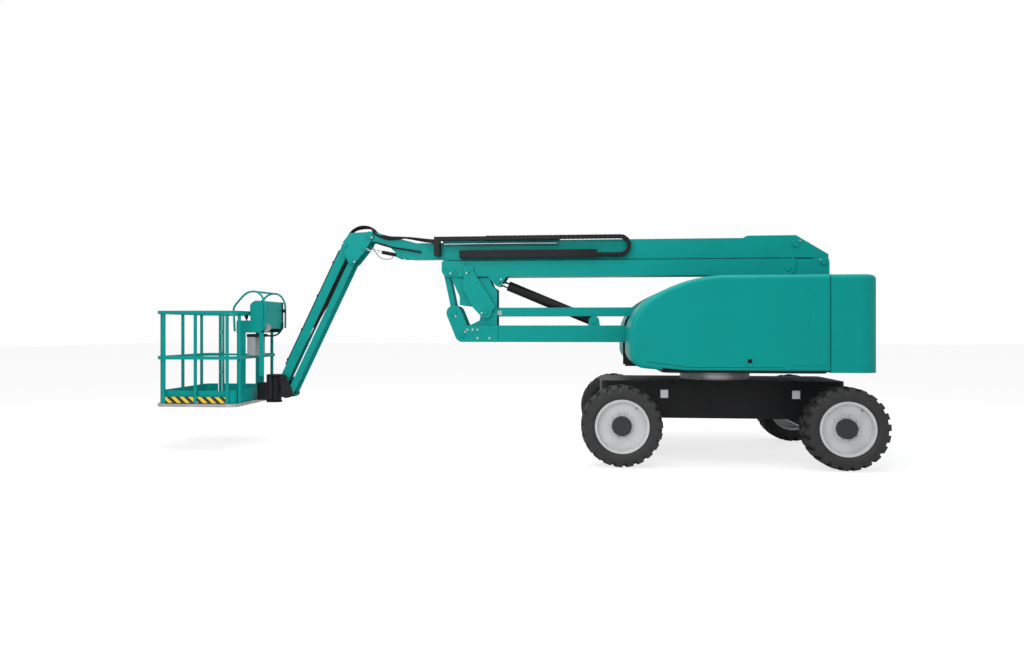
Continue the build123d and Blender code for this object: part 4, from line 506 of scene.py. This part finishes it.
for end, x in (("front", -AXLE_X), ("rear", AXLE_X)):
    for side, out in SIDES:
        tag = f"{end}_{side}"
        body = f"wheel_{tag}"
        centre = at(x, out * WHEEL_Y, TYRE_RADIUS)
        tyre = tyre_mesh(centre, f"tread_{tag}", body)
        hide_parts(f"tyre_{tag}")
        rim = NODES[f"rim_{tag}"]
        field = rim.data.attributes.new("hub_distance", "FLOAT", "POINT")
        for i, vertex in enumerate(rim.data.vertices):
            d = vertex.co - centre
            field.data[i].value = math.hypot(d.x, d.z)
        bm = bmesh.new()
        for i in range(HUB_BOLTS):
            foot = around(centre, HUB_BOLT_CIRCLE, math.tau * i / HUB_BOLTS, out * HUB_FACE)
            add_hex(bm, foot, (0, out, 0), 0.009, 0.01)
        put(bm, f"hub_bolts_{tag}", black_paint, body)
        bm = bmesh.new()
        cap = ((0, 0.058), (0.012, 0.056), (0.016, 0.045), (0.02, 0.0446), (0.021, 0.012))
        add_disc(bm, centre + Vector((0, out * (HUB_FACE - 0.001), 0)), (0, out, 0), cap, 32)
        put(bm, f"hub_cap_{tag}", black_paint, body)
        bm = bmesh.new()
        foot = around(centre, VALVE_CIRCLE, VALVE_ANGLE, out * 0.05)
        add_disc(bm, foot, (0, out, 0), ((0, 0.005), (0.04, 0.005), (0.041, 0.004), (0.052, 0.004)), 10)
        put(bm, f"valve_{tag}", dark_plastic, body)


# Pin heads and bolts of the linkage

# x, height, distance from the middle plane, radius, body, and the keeper bolt's angle in degrees
PIN_CAPS = (
    (-2.918, 1.355, 0.157, 0.033, "lower_riser", 40),
    (-3.021, 1.607, 0.157, 0.033, "lower_riser", -60),
    (-2.646, 1.618, 0.174, 0.033, "mid_knuckle", 200),
    (-3.039, 2.11, 0.157, 0.033, "mid_knuckle", -120),
    (-2.845, 2.105, 0.174, 0.03, "mid_knuckle", 240),
    (-2.501, 1.975, 0.149, 0.031, "upper_riser", 30),
    (1.184, 2.174, 0.132, 0.031, "upper_knuckle", 150),
    (0.885, 2.389, 0.107, 0.042, "main_boom", 30),
    (-4.051, 2.525, 0.122, 0.031, "nose_bracket", -30),
    (-4.338, 2.418, 0.122, 0.027, "nose_bracket", 150),
    (-4.26, 2.231, 0.122, 0.027, "nose_bracket", -20),
)


def pin_cap(x, y, z, radius, body, keeper):
    """Pin head with a stepped face and a bolted keeper, on the near or far side by the sign of y."""
    outward = (0, -1 if y < 0 else 1, 0)
    centre = at(x, y, z)
    bm = bmesh.new()
    head = (
        (-0.002, radius), (0.004, radius), (0.006, radius * 0.94), (0.006, radius * 0.55),
        (0.0035, radius * 0.5),
    )
    add_disc(bm, centre, outward, head, 28)
    put(bm, f"pin_cap_{len(bpy.data.objects)}", boom_paint, body)
    bm = bmesh.new()
    angle = math.radians(keeper)
    add_hex(bm, around(centre, radius * 1.35, angle), outward, 0.008, 0.009, angle)
    put(bm, f"keeper_{len(bpy.data.objects)}", zinc, body)


for side, out in SIDES:
    for x, z, y, radius, body, keeper in PIN_CAPS:
        pin_cap(x, out * y, z, radius, body, keeper)

FORK_BOLTS = ((-2.86, 1.41), (-2.80, 1.41), (-2.74, 1.41), (-2.74, 1.31), (-2.6, 1.31))
bm = bmesh.new()
for side, out in SIDES:
    for x, z in FORK_BOLTS:
        add_hex(bm, at(x, out * 0.15, z), (0, out, 0), 0.009, 0.011)
put(bm, "riser_fork_bolts", zinc, "lower_riser")


# Covers

COVER_FACE = 1.1
REAR_PANEL = (
    (0.93, 1.05), (0.93, 1.88), (0.77, 1.88), (0.70, 1.82), (0.80, 1.76), (0.735, 1.42), (0.62, 1.165),
    (0.56, 1.05),
)
LATCH_PLATE = ((0.12, 1.045), (0.205, 1.045), (0.205, 1.145), (0.12, 1.145))
LATCH = ((0.14, 1.075), (0.185, 1.075), (0.185, 1.115), (0.14, 1.115))
# painted shade: the crease's line, and the width of the dark strip that stands for its shade
CREASE_SHADE_LINE = ((-0.86, 1.085), (-0.45, 1.03), (0.5, 1.03))
CREASE_SHADE_WIDTH = 0.004

for side, out in SIDES:
    body = f"cover_{side}"
    bm = bmesh.new()
    add_plate(bm, REAR_PANEL, out * (COVER_FACE - 0.002), out * (COVER_FACE + 0.004))
    put(bm, f"rear_panel_{side}", cover_paint, body, bevel=0.0035, segments=3)
    bm = bmesh.new()
    add_plate(bm, LATCH_PLATE, out * (COVER_FACE - 0.001), out * (COVER_FACE + 0.0025))
    put(bm, f"latch_plate_{side}", cover_paint, body, bevel=0.002)
    bm = bmesh.new()
    add_plate(bm, LATCH, out * COVER_FACE, out * (COVER_FACE + 0.006))
    put(bm, f"latch_{side}", dark_plastic, body, bevel=0.002)
    # painted shade: a thin dark strip above the lower edge that stands for the shade in a crease
    bm = bmesh.new()
    for (x1, z1), (x2, z2) in zip(CREASE_SHADE_LINE, CREASE_SHADE_LINE[1:]):
        half = CREASE_SHADE_WIDTH / 2 / math.hypot(x2 - x1, z2 - z1)
        nx, nz = (z1 - z2) * half, (x2 - x1) * half
        line = ((x1 + nx, z1 + nz), (x2 + nx, z2 + nz), (x2 - nx, z2 - nz), (x1 - nx, z1 - nz))
        add_plate(bm, line, out * (COVER_FACE - 0.0005), out * (COVER_FACE + 0.0012))
    put(bm, f"painted_crease_shade_{side}", black_paint, body)


# Chassis trim

CHASSIS_FACE = 0.47
PLATE_FACE = 0.4725
PLATE_PLACES = (-0.62, 0.79)
PLATE_HALF = 0.042
PLATE_BOTTOM, PLATE_TOP = 0.66, 0.75

bm = bmesh.new()
for x in PLATE_PLACES:
    left, right = x - PLATE_HALF, x + PLATE_HALF
    plate = ((left, PLATE_BOTTOM), (right, PLATE_BOTTOM), (right, PLATE_TOP), (left, PLATE_TOP))
    add_prism(bm, plate, -PLATE_FACE, 0.001 - CHASSIS_FACE)
put(bm, "blank_plates", blank_label, "chassis", bevel=0.0008)
bm = bmesh.new()
for x in PLATE_PLACES:
    for dx in (-0.034, 0.034):
        for z in (PLATE_BOTTOM + 0.008, PLATE_TOP - 0.008):
            add_disc(bm, at(x + dx, -PLATE_FACE, z), (0, -1, 0), ((0, 0.004), (0.0015, 0.0035)), 10)
put(bm, "plate_rivets", zinc, "chassis")
bm = bmesh.new()
for side, out in SIDES:
    for i in range(9):
        add_hex(bm, at(-1.05 + 0.2625 * i, out * CHASSIS_FACE, 0.815), (0, out, 0), 0.009, 0.01)
    for i in range(4):
        add_hex(bm, at(-1.175 + 0.04 * i, out * CHASSIS_FACE, 0.475), (0, out, 0), 0.008, 0.009)
put(bm, "chassis_bolts", black_paint, "chassis")


# Label on the lower link

bm = bmesh.new()
add_prism(bm, ((-2.61, 1.582), (-2.46, 1.582), (-2.46, 1.632), (-2.61, 1.632)), -0.0962, -0.0945)
put(bm, "blank_label", grey_label, "lower_link")


# Energy chain: link plates along the two runs and the bend between them

CHAIN_X, CHAIN_Z, CHAIN_RADIUS = -1.087, 2.382, 0.103
CHAIN_PITCH = 0.052
LOWER_RUN, UPPER_RUN = 1.1, 1.55
BEND = math.pi * CHAIN_RADIUS
LINK_HALF_HEIGHT = 0.0215
# near and far edge of each plate of a link, and half its length
LINK_PLATES = ((-0.182, -0.174, 0.029), (-0.116, -0.108, 0.029), (-0.178, -0.112, 0.014))
OUTER_LINK_STEP = 0.0015


def chain_place(s):
    """Place and turn of the chain's middle line at this distance from its lower end."""
    if s < LOWER_RUN:
        return CHAIN_X - LOWER_RUN + s, CHAIN_Z - CHAIN_RADIUS, 0.0
    if s < LOWER_RUN + BEND:
        turn = (s - LOWER_RUN) / CHAIN_RADIUS
        return CHAIN_X + CHAIN_RADIUS * math.sin(turn), CHAIN_Z - CHAIN_RADIUS * math.cos(turn), turn
    return CHAIN_X - (s - LOWER_RUN - BEND), CHAIN_Z + CHAIN_RADIUS, math.pi


def link_outline(x, z, turn, half_length):
    """Link plate with cut corners."""
    spin = Matrix.Rotation(-turn, 3, "Y")
    corner_x, corner_z = half_length * 0.7, LINK_HALF_HEIGHT * 0.6
    outline = []
    for dx, dz in (
        (-half_length, -corner_z), (-corner_x, -LINK_HALF_HEIGHT), (corner_x, -LINK_HALF_HEIGHT),
        (half_length, -corner_z), (half_length, corner_z), (corner_x, LINK_HALF_HEIGHT),
        (-corner_x, LINK_HALF_HEIGHT), (-half_length, corner_z),
    ):
        v = spin @ Vector((dx, 0, dz))
        outline.append((x + v.x, z + v.z))
    return outline


bm = bmesh.new()
chain_length = LOWER_RUN + BEND + UPPER_RUN
link_count = int(chain_length / CHAIN_PITCH)
for i in range(link_count):
    x, z, turn = chain_place((i + 0.5) * chain_length / link_count)
    for near, far, half_length in LINK_PLATES:
        step = OUTER_LINK_STEP if i % 2 and far < -0.17 else 0.0
        add_prism(bm, link_outline(x, z, turn, half_length), near + step, far - step)
chain = put(bm, "energy_chain", dark_plastic, "hose_chain")
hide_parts("hose_chain_loop")


# Tube and hoses on the trays

RUN_HOSE_RADIUS = 0.011
RUN_HOSE_Y = (-0.125, -0.15, -0.172)

hose(
    "tray_tube", (at(-3.15, -0.15, 2.415), at(-2.5, -0.15, 2.417), at(-1.8, -0.15, 2.415)), RUN_HOSE_RADIUS,
    "fly_boom", mat=bare_steel, sides=10,
)
for i, (y, z) in enumerate(zip(RUN_HOSE_Y, (2.463, 2.466, 2.463))):
    route = (at(-3.2, y, z), at(-2.9, y, z + 0.004), at(-2.2, y, z), at(-1.85, y, z))
    hose(f"upper_run_{i}", route, RUN_HOSE_RADIUS, "fly_boom", sides=10, step=0.05)
for i, (y, z) in enumerate(zip(RUN_HOSE_Y, (2.288, 2.29, 2.287))):
    route = (at(-2.93, y, z), at(-2.4, y, z + 0.003), at(-1.9, y, z), at(-1.4, y, z))
    hose(f"lower_run_{i}", route, RUN_HOSE_RADIUS, "main_boom", sides=10, step=0.05)


# Hoses from the tray's carrier to the nose, over it in a loop, and a wire hook under it

for i, dy in enumerate((-0.012, 0.014, 0.04)):
    route = (
        at(-3.2, -0.12 - dy, 2.46 - 0.012 * i), at(-3.36, -0.11, 2.475 - 0.01 * i),
        at(-3.6, -0.1 + dy * 0.2, 2.50), at(-3.82, -0.095, 2.49 + 0.012 * i),
        at(-3.98, -0.07 + dy, 2.55 + 0.01 * i), at(-4.02, -0.05 + dy, 2.60),
    )
    hose(f"nose_run_{i}", route, 0.0115, "fly_boom", ridge=0.0015, pitch=0.012, step=0.006)
bm = bmesh.new()
for i, y in enumerate((-0.03, 0.0, 0.03)):
    route = (
        at(-3.985, y - 0.02, 2.575), at(-4.03, y - 0.01, 2.62), at(-4.095, y, 2.646 - 0.004 * i),
        at(-4.18, y, 2.646 - 0.006 * i), at(-4.26, y, 2.61), at(-4.315, y, 2.55), at(-4.335, y, 2.49),
    )
    add_tube(bm, smooth_path(route, 0.008), 0.0125, 12, 0.0015, 0.014)
loop = put(bm, "nose_loop", rubber_hose, None, smooth=True)
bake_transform(loop)
hose(
    "wire_hook",
    (at(-4.0, -0.098, 2.44), at(-3.99, -0.098, 2.36), at(-3.9, -0.098, 2.26), at(-3.78, -0.098, 2.255),
     at(-3.76, -0.098, 2.29)),
    0.004, "fly_boom", mat=dark_plastic, sides=8,
)
hose(
    "nose_under_hose",
    (at(-3.42, -0.098, 2.33), at(-3.6, -0.1, 2.36), at(-3.8, -0.1, 2.395), at(-3.98, -0.098, 2.45)),
    0.01, "fly_boom", ridge=0.0012, pitch=0.01, step=0.005, sides=10,
)


# Hoses along the underside of the jib, with their clamps

JIB_ROOT = (-4.338, 2.418)
JIB_LEAN = math.radians(-115.84)
JIB_ALONG = Vector((math.cos(JIB_LEAN), 0, math.sin(JIB_LEAN)))
JIB_OFF = Vector((-math.sin(JIB_LEAN), 0, math.cos(JIB_LEAN)))


def jib_point(along, off, y):
    """Point by its distance from the jib's root along the arm and away from its middle line."""
    return at(JIB_ROOT[0], y, JIB_ROOT[1]) + JIB_ALONG * along + JIB_OFF * off


for i, y in enumerate((-0.03, 0.0, 0.03)):
    route = [jib_point(along, -0.066, y) for along in (0.09, 0.5, 1.0, 1.62)]
    hose(f"jib_run_{i}", route, 0.01, "jib_arm", sides=10, step=0.05)
bm = bmesh.new()
for along in (0.25, 0.7, 1.15, 1.55):
    add_block(bm, [
        jib_point(along + a, h - 0.068, y)
        for a in (-0.012, 0.012) for y in (-0.046, 0.046) for h in (0.013, -0.013)
    ])
put(bm, "jib_clamps", black_paint, "jib_arm", bevel=0.002)


# Hazard stripes on the platform's edge

bm = bmesh.new()
add_box(bm, at(-6.33, -0.5835, 0.565), at(-5.60, -0.5815, 0.635))
put(bm, "hazard_near", hazard_tape, "platform")
bm = bmesh.new()
add_box(bm, at(-6.4335, -0.47, 0.565), at(-6.4315, 0.47, 0.635))
put(bm, "hazard_left", hazard_tape, "platform")


# Console: tray, raised lid and tube frame

TRAY_NEAR, TRAY_FAR = -0.26, 0.33
TRAY_LEFT, TRAY_RIGHT = -5.62, -5.28
TRAY_BOTTOM, TRAY_TOP = 1.375, 1.52
TRAY_SHEET = 0.005
DECK = 1.495
HOOP_RADIUS = 0.0125
HOOP_SIDE = 0.012
HOOP_TOP = 1.861


def outline_box(left, right, bottom, top):
    return ((left, bottom), (right, bottom), (right, top), (left, top))


bm = bmesh.new()
tray_end = rounded(
    ((TRAY_RIGHT, TRAY_TOP), (TRAY_LEFT, TRAY_TOP), (TRAY_LEFT, TRAY_BOTTOM), (TRAY_RIGHT, TRAY_BOTTOM)),
    (0, 0, 0.015, 0.085),
)
add_prism(bm, tray_end, TRAY_NEAR, TRAY_NEAR + 0.004)
add_prism(bm, tray_end, TRAY_FAR - 0.004, TRAY_FAR)
for sheet in (
    outline_box(TRAY_LEFT, TRAY_RIGHT - 0.02, TRAY_BOTTOM, TRAY_BOTTOM + TRAY_SHEET),
    outline_box(TRAY_LEFT, TRAY_LEFT + TRAY_SHEET, TRAY_BOTTOM, TRAY_TOP),
    outline_box(TRAY_RIGHT - TRAY_SHEET, TRAY_RIGHT, 1.42, TRAY_TOP),
):
    add_prism(bm, sheet, TRAY_NEAR, TRAY_FAR)
deck_sheet = outline_box(TRAY_LEFT + 0.01, TRAY_RIGHT - 0.01, DECK - TRAY_SHEET, DECK)
add_prism(bm, deck_sheet, TRAY_NEAR + 0.004, TRAY_FAR - 0.004)
tray = put(bm, "console_tray", boom_paint, "platform", bevel=0.002)
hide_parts("control_console")

LID_SHEET = 0.004
bm = bmesh.new()
lid_end = rounded(
    ((-5.284, DECK), (-5.284, 1.752), (-5.40, 1.757), (-5.456, 1.71), (-5.45, DECK)), (0, 0.012, 0.03, 0.02, 0)
)
add_prism(bm, lid_end, TRAY_NEAR + 0.004, TRAY_NEAR + 0.01)
add_prism(bm, lid_end, TRAY_FAR - 0.01, TRAY_FAR - 0.004)
for (x1, z1), (x2, z2) in zip(lid_end, lid_end[1:]):
    share = LID_SHEET / math.hypot(x2 - x1, z2 - z1)
    nx, nz = (z1 - z2) * share, (x2 - x1) * share
    strip = ((x1, z1), (x2, z2), (x2 + nx, z2 + nz), (x1 + nx, z1 + nz))
    add_prism(bm, strip, TRAY_NEAR + 0.004, TRAY_FAR - 0.004)
lid = put(bm, "console_lid", boom_paint, "platform", bevel=0.0015)
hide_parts("console_cover")
bm = bmesh.new()
add_box(bm, at(-5.2835, TRAY_FAR - 0.05, 1.5), at(-5.2815, TRAY_FAR - 0.006, 1.75))
knob = ((0, 0.012), (0.014, 0.012), (0.016, 0.022), (0.03, 0.024), (0.036, 0.018))
add_disc(bm, at(-5.283, TRAY_FAR - 0.028, 1.645), (1, 0, 0), knob, 20)
put(bm, "lid_latch", black_paint, "platform")

HOOP = (
    (-5.645, 1.60), (-5.645, 1.67), (-5.60, 1.735), (-5.52, 1.82), (-5.455, 1.857), (-5.375, HOOP_TOP),
    (-5.31, 1.82), (-5.27, 1.74), (-5.262, 1.66), (-5.262, 1.43),
)
STAY = ((-5.645, 1.61), (-5.642, 1.5), (-5.635, 1.39))
HOOP_ENDS = (("near", TRAY_NEAR - HOOP_SIDE), ("far", TRAY_FAR + HOOP_SIDE))

for tag, y in HOOP_ENDS:
    route = [at(x, y, z) for x, z in HOOP]
    hose(f"console_hoop_{tag}", route, HOOP_RADIUS, "platform", mat=boom_paint, step=0.012, sides=14)
route = [at(-5.38, y, HOOP_TOP) for y in (TRAY_NEAR - HOOP_SIDE, 0, TRAY_FAR + HOOP_SIDE)]
hose("console_hoop_cross", route, HOOP_RADIUS, "platform", mat=boom_paint, step=0.05, sides=14)
for tag, y in HOOP_ENDS:
    route = [at(x, y, z) for x, z in STAY]
    hose(f"console_stay_{tag}", route, HOOP_RADIUS, "platform", mat=boom_paint, step=0.05, sides=14)


# Controls on the deck, horn and its cable

BOOT = ((0, 0.026), (0.006, 0.026), (0.012, 0.021), (0.022, 0.013), (0.028, 0.0085), (0.045, 0.0085))
GRIP = ((0, 0.009), (0.006, 0.017), (0.03, 0.022), (0.048, 0.02), (0.058, 0.012))
SWITCH = ((0, 0.022), (0.012, 0.022), (0.016, 0.016), (0.05, 0.017), (0.068, 0.014), (0.074, 0.006))
STOP = (
    (0, 0.022), (0.006, 0.022), (0.008, 0.012), (0.018, 0.012), (0.02, 0.021), (0.03, 0.021), (0.034, 0.015),
)
TOGGLE = ((0, 0.009), (0.004, 0.009), (0.0045, 0.004), (0.018, 0.0035), (0.02, 0.002))
HORN = (
    (-0.06, 0.022), (-0.02, 0.026), (0.0, 0.05), (0.008, 0.052), (0.012, 0.05), (0.0121, 0.044), (0.002, 0.03),
)
UP = (0, 0, 1)

bm = bmesh.new()
for y in (-0.17, 0.2):
    add_disc(bm, at(-5.535, y, DECK), UP, BOOT, 20)
    add_disc(bm, at(-5.535, y, DECK + 0.043), (-0.096, 0, 1), GRIP, 20)
put(bm, "joysticks", dark_plastic, "platform")
bm = bmesh.new()
add_disc(bm, at(-5.42, -0.2, DECK), UP, SWITCH, 20)
put(bm, "yellow_switch", yellow, "platform")
bm = bmesh.new()
add_disc(bm, at(-5.47, 0.02, DECK), UP, STOP, 24)
put(bm, "stop_button", red, "platform")
bm = bmesh.new()
for row in range(2):
    for k in range(6):
        add_disc(bm, at(-5.4 + 0.05 * row, -0.1 + 0.055 * k, DECK), UP, TOGGLE, 12)
put(bm, "toggle_switches", dark_plastic, "platform")
bm = bmesh.new()
add_disc(bm, at(-5.275, -0.2, 1.435), (0.35, -1, -0.1), HORN, 28)
put(bm, "horn", light_grey, "platform")
route = (
    at(-5.272, 0.27, 1.5), at(-5.262, 0.24, 1.43), at(-5.262, 0.12, 1.36), at(-5.27, -0.04, 1.335),
    at(-5.29, -0.22, 1.345), at(-5.31, -0.25, 1.37),
)
hose("horn_cable", route, 0.011, "platform", step=0.012)


# Upright panels under the tray, and the document holder between them

bm = bmesh.new()
add_box(bm, at(-5.615, -0.262, 0.72), at(-5.505, -0.256, TRAY_BOTTOM))
add_box(bm, at(-5.34, -0.262, 0.86), at(-5.285, -0.256, TRAY_BOTTOM))
add_box(bm, at(-5.615, 0.256, 0.72), at(-5.505, 0.262, TRAY_BOTTOM))
put(bm, "console_uprights", boom_paint, "platform", bevel=0.002)
bm = bmesh.new()
add_box(bm, at(-5.5, -0.235, 1.1), at(-5.4, 0.05, 1.345))
put(bm, "document_box", light_grey, "platform", bevel=0.006, segments=3)
bm = bmesh.new()
add_box(bm, at(-5.505, -0.24, 1.322), at(-5.37, 0.055, 1.36))
put(bm, "document_lid", dark_plastic, "platform", bevel=0.005, segments=3)


# Foot switch and gate hinges

bm = bmesh.new()
add_box(bm, at(-6.08, -0.28, 0.566), at(-5.93, -0.13, 0.6))
put(bm, "foot_switch_base", black_paint, "platform", bevel=0.006, segments=3)
bm = bmesh.new()
for k in range(3):
    add_box(bm, at(-6.07, -0.265 + 0.045 * k, 0.6), at(-5.94, -0.235 + 0.045 * k, 0.608))
put(bm, "foot_switch_tread", rubber_hose, "platform", bevel=0.002)
bm = bmesh.new()
for z in (0.86, 1.12, 1.38):
    add_disc(bm, at(-6.2235, 0.578, z - 0.02), UP, ((0, 0.011), (0.04, 0.011)), 16)
put(bm, "gate_hinges", zinc, "platform")


# Studio floor: nearly white with soft pale shadows for the camera, plain and pale for other rays

FLOOR_SEEN = 0.3
FLOOR_GLOW = 0.76

bm = bmesh.new()
add_box(bm, Vector((-40, -40, -0.02)), Vector((40, 60, 0.0)))
floor_mat, nt, bsdf = tree_of("studio_floor")
bsdf.inputs["Base Color"].default_value = (0.8, 0.8, 0.8, 1)
bsdf.inputs["Roughness"].default_value = 0.9
bsdf.inputs["Specular IOR Level"].default_value = 0.05
seen = nt.nodes.new("ShaderNodeBsdfDiffuse")
seen.inputs["Color"].default_value = (FLOOR_SEEN, FLOOR_SEEN, FLOOR_SEEN, 1)
glow = nt.nodes.new("ShaderNodeEmission")
glow.inputs["Color"].default_value = (1, 1, 1, 1)
glow.inputs["Strength"].default_value = FLOOR_GLOW
both = nt.nodes.new("ShaderNodeAddShader")
nt.links.new(seen.outputs[0], both.inputs[0])
nt.links.new(glow.outputs[0], both.inputs[1])
rays = nt.nodes.new("ShaderNodeLightPath")
pick = nt.nodes.new("ShaderNodeMixShader")
nt.links.new(rays.outputs["Is Camera Ray"], pick.inputs[0])
nt.links.new(bsdf.outputs[0], pick.inputs[1])
nt.links.new(both.outputs[0], pick.inputs[2])
output = next(n for n in nt.nodes if n.type == "OUTPUT_MATERIAL")
nt.links.new(pick.outputs[0], output.inputs[0])
floor = put(bm, "studio_floor", floor_mat, None)


# World: soft light all round, seen by the camera as white

world = bpy.data.worlds.new("studio")
bpy.context.scene.world = world
world.use_nodes = True
nt = world.node_tree
nt.nodes.clear()
output = nt.nodes.new("ShaderNodeOutputWorld")
light = nt.nodes.new("ShaderNodeBackground")
light.inputs["Color"].default_value = (1.0, 1.0, 1.0, 1)
light.inputs["Strength"].default_value = 0.62
backdrop = nt.nodes.new("ShaderNodeBackground")
backdrop.inputs["Color"].default_value = (0.99, 0.99, 0.99, 1)
rays = nt.nodes.new("ShaderNodeLightPath")
pick = nt.nodes.new("ShaderNodeMixShader")
nt.links.new(rays.outputs["Is Camera Ray"], pick.inputs[0])
nt.links.new(light.outputs[0], pick.inputs[1])
nt.links.new(backdrop.outputs[0], pick.inputs[2])
nt.links.new(pick.outputs[0], output.inputs[0])


# Lamps and camera

def area(name, place, aim, size, energy):
    data = bpy.data.lights.new(name, "AREA")
    data.shape = "RECTANGLE"
    data.size, data.size_y = size
    data.energy = energy
    obj = bpy.data.objects.new(name, data)
    bpy.context.scene.collection.objects.link(obj)
    obj.location = place
    obj.rotation_euler = (Vector(aim) - Vector(place)).to_track_quat("-Z", "Y").to_euler()


area("top_box", (0.5, -1.5, 7.5), (0.5, 0, 0.5), (9, 6), 520)
area("front_box", (-2.5, -9.5, 5.0), (0.5, 0, 1.2), (7, 4), 330)

CAMERA_HEIGHT = 1.43
CAMERA_DISTANCE = 8.876
CAMERA_TURN = 5.27

cam_data = bpy.data.cameras.new("camera")
cam_data.sensor_width = 36
cam_data.lens = 26.44
cam = bpy.data.objects.new("camera", cam_data)
bpy.context.scene.collection.objects.link(cam)
cam.location = at(-1.53, -CAMERA_DISTANCE, CAMERA_HEIGHT)
cam.rotation_euler = (math.pi / 2, 0, math.radians(CAMERA_TURN))
bpy.context.scene.camera = cam
bpy.context.scene.view_settings.view_transform = "Standard"
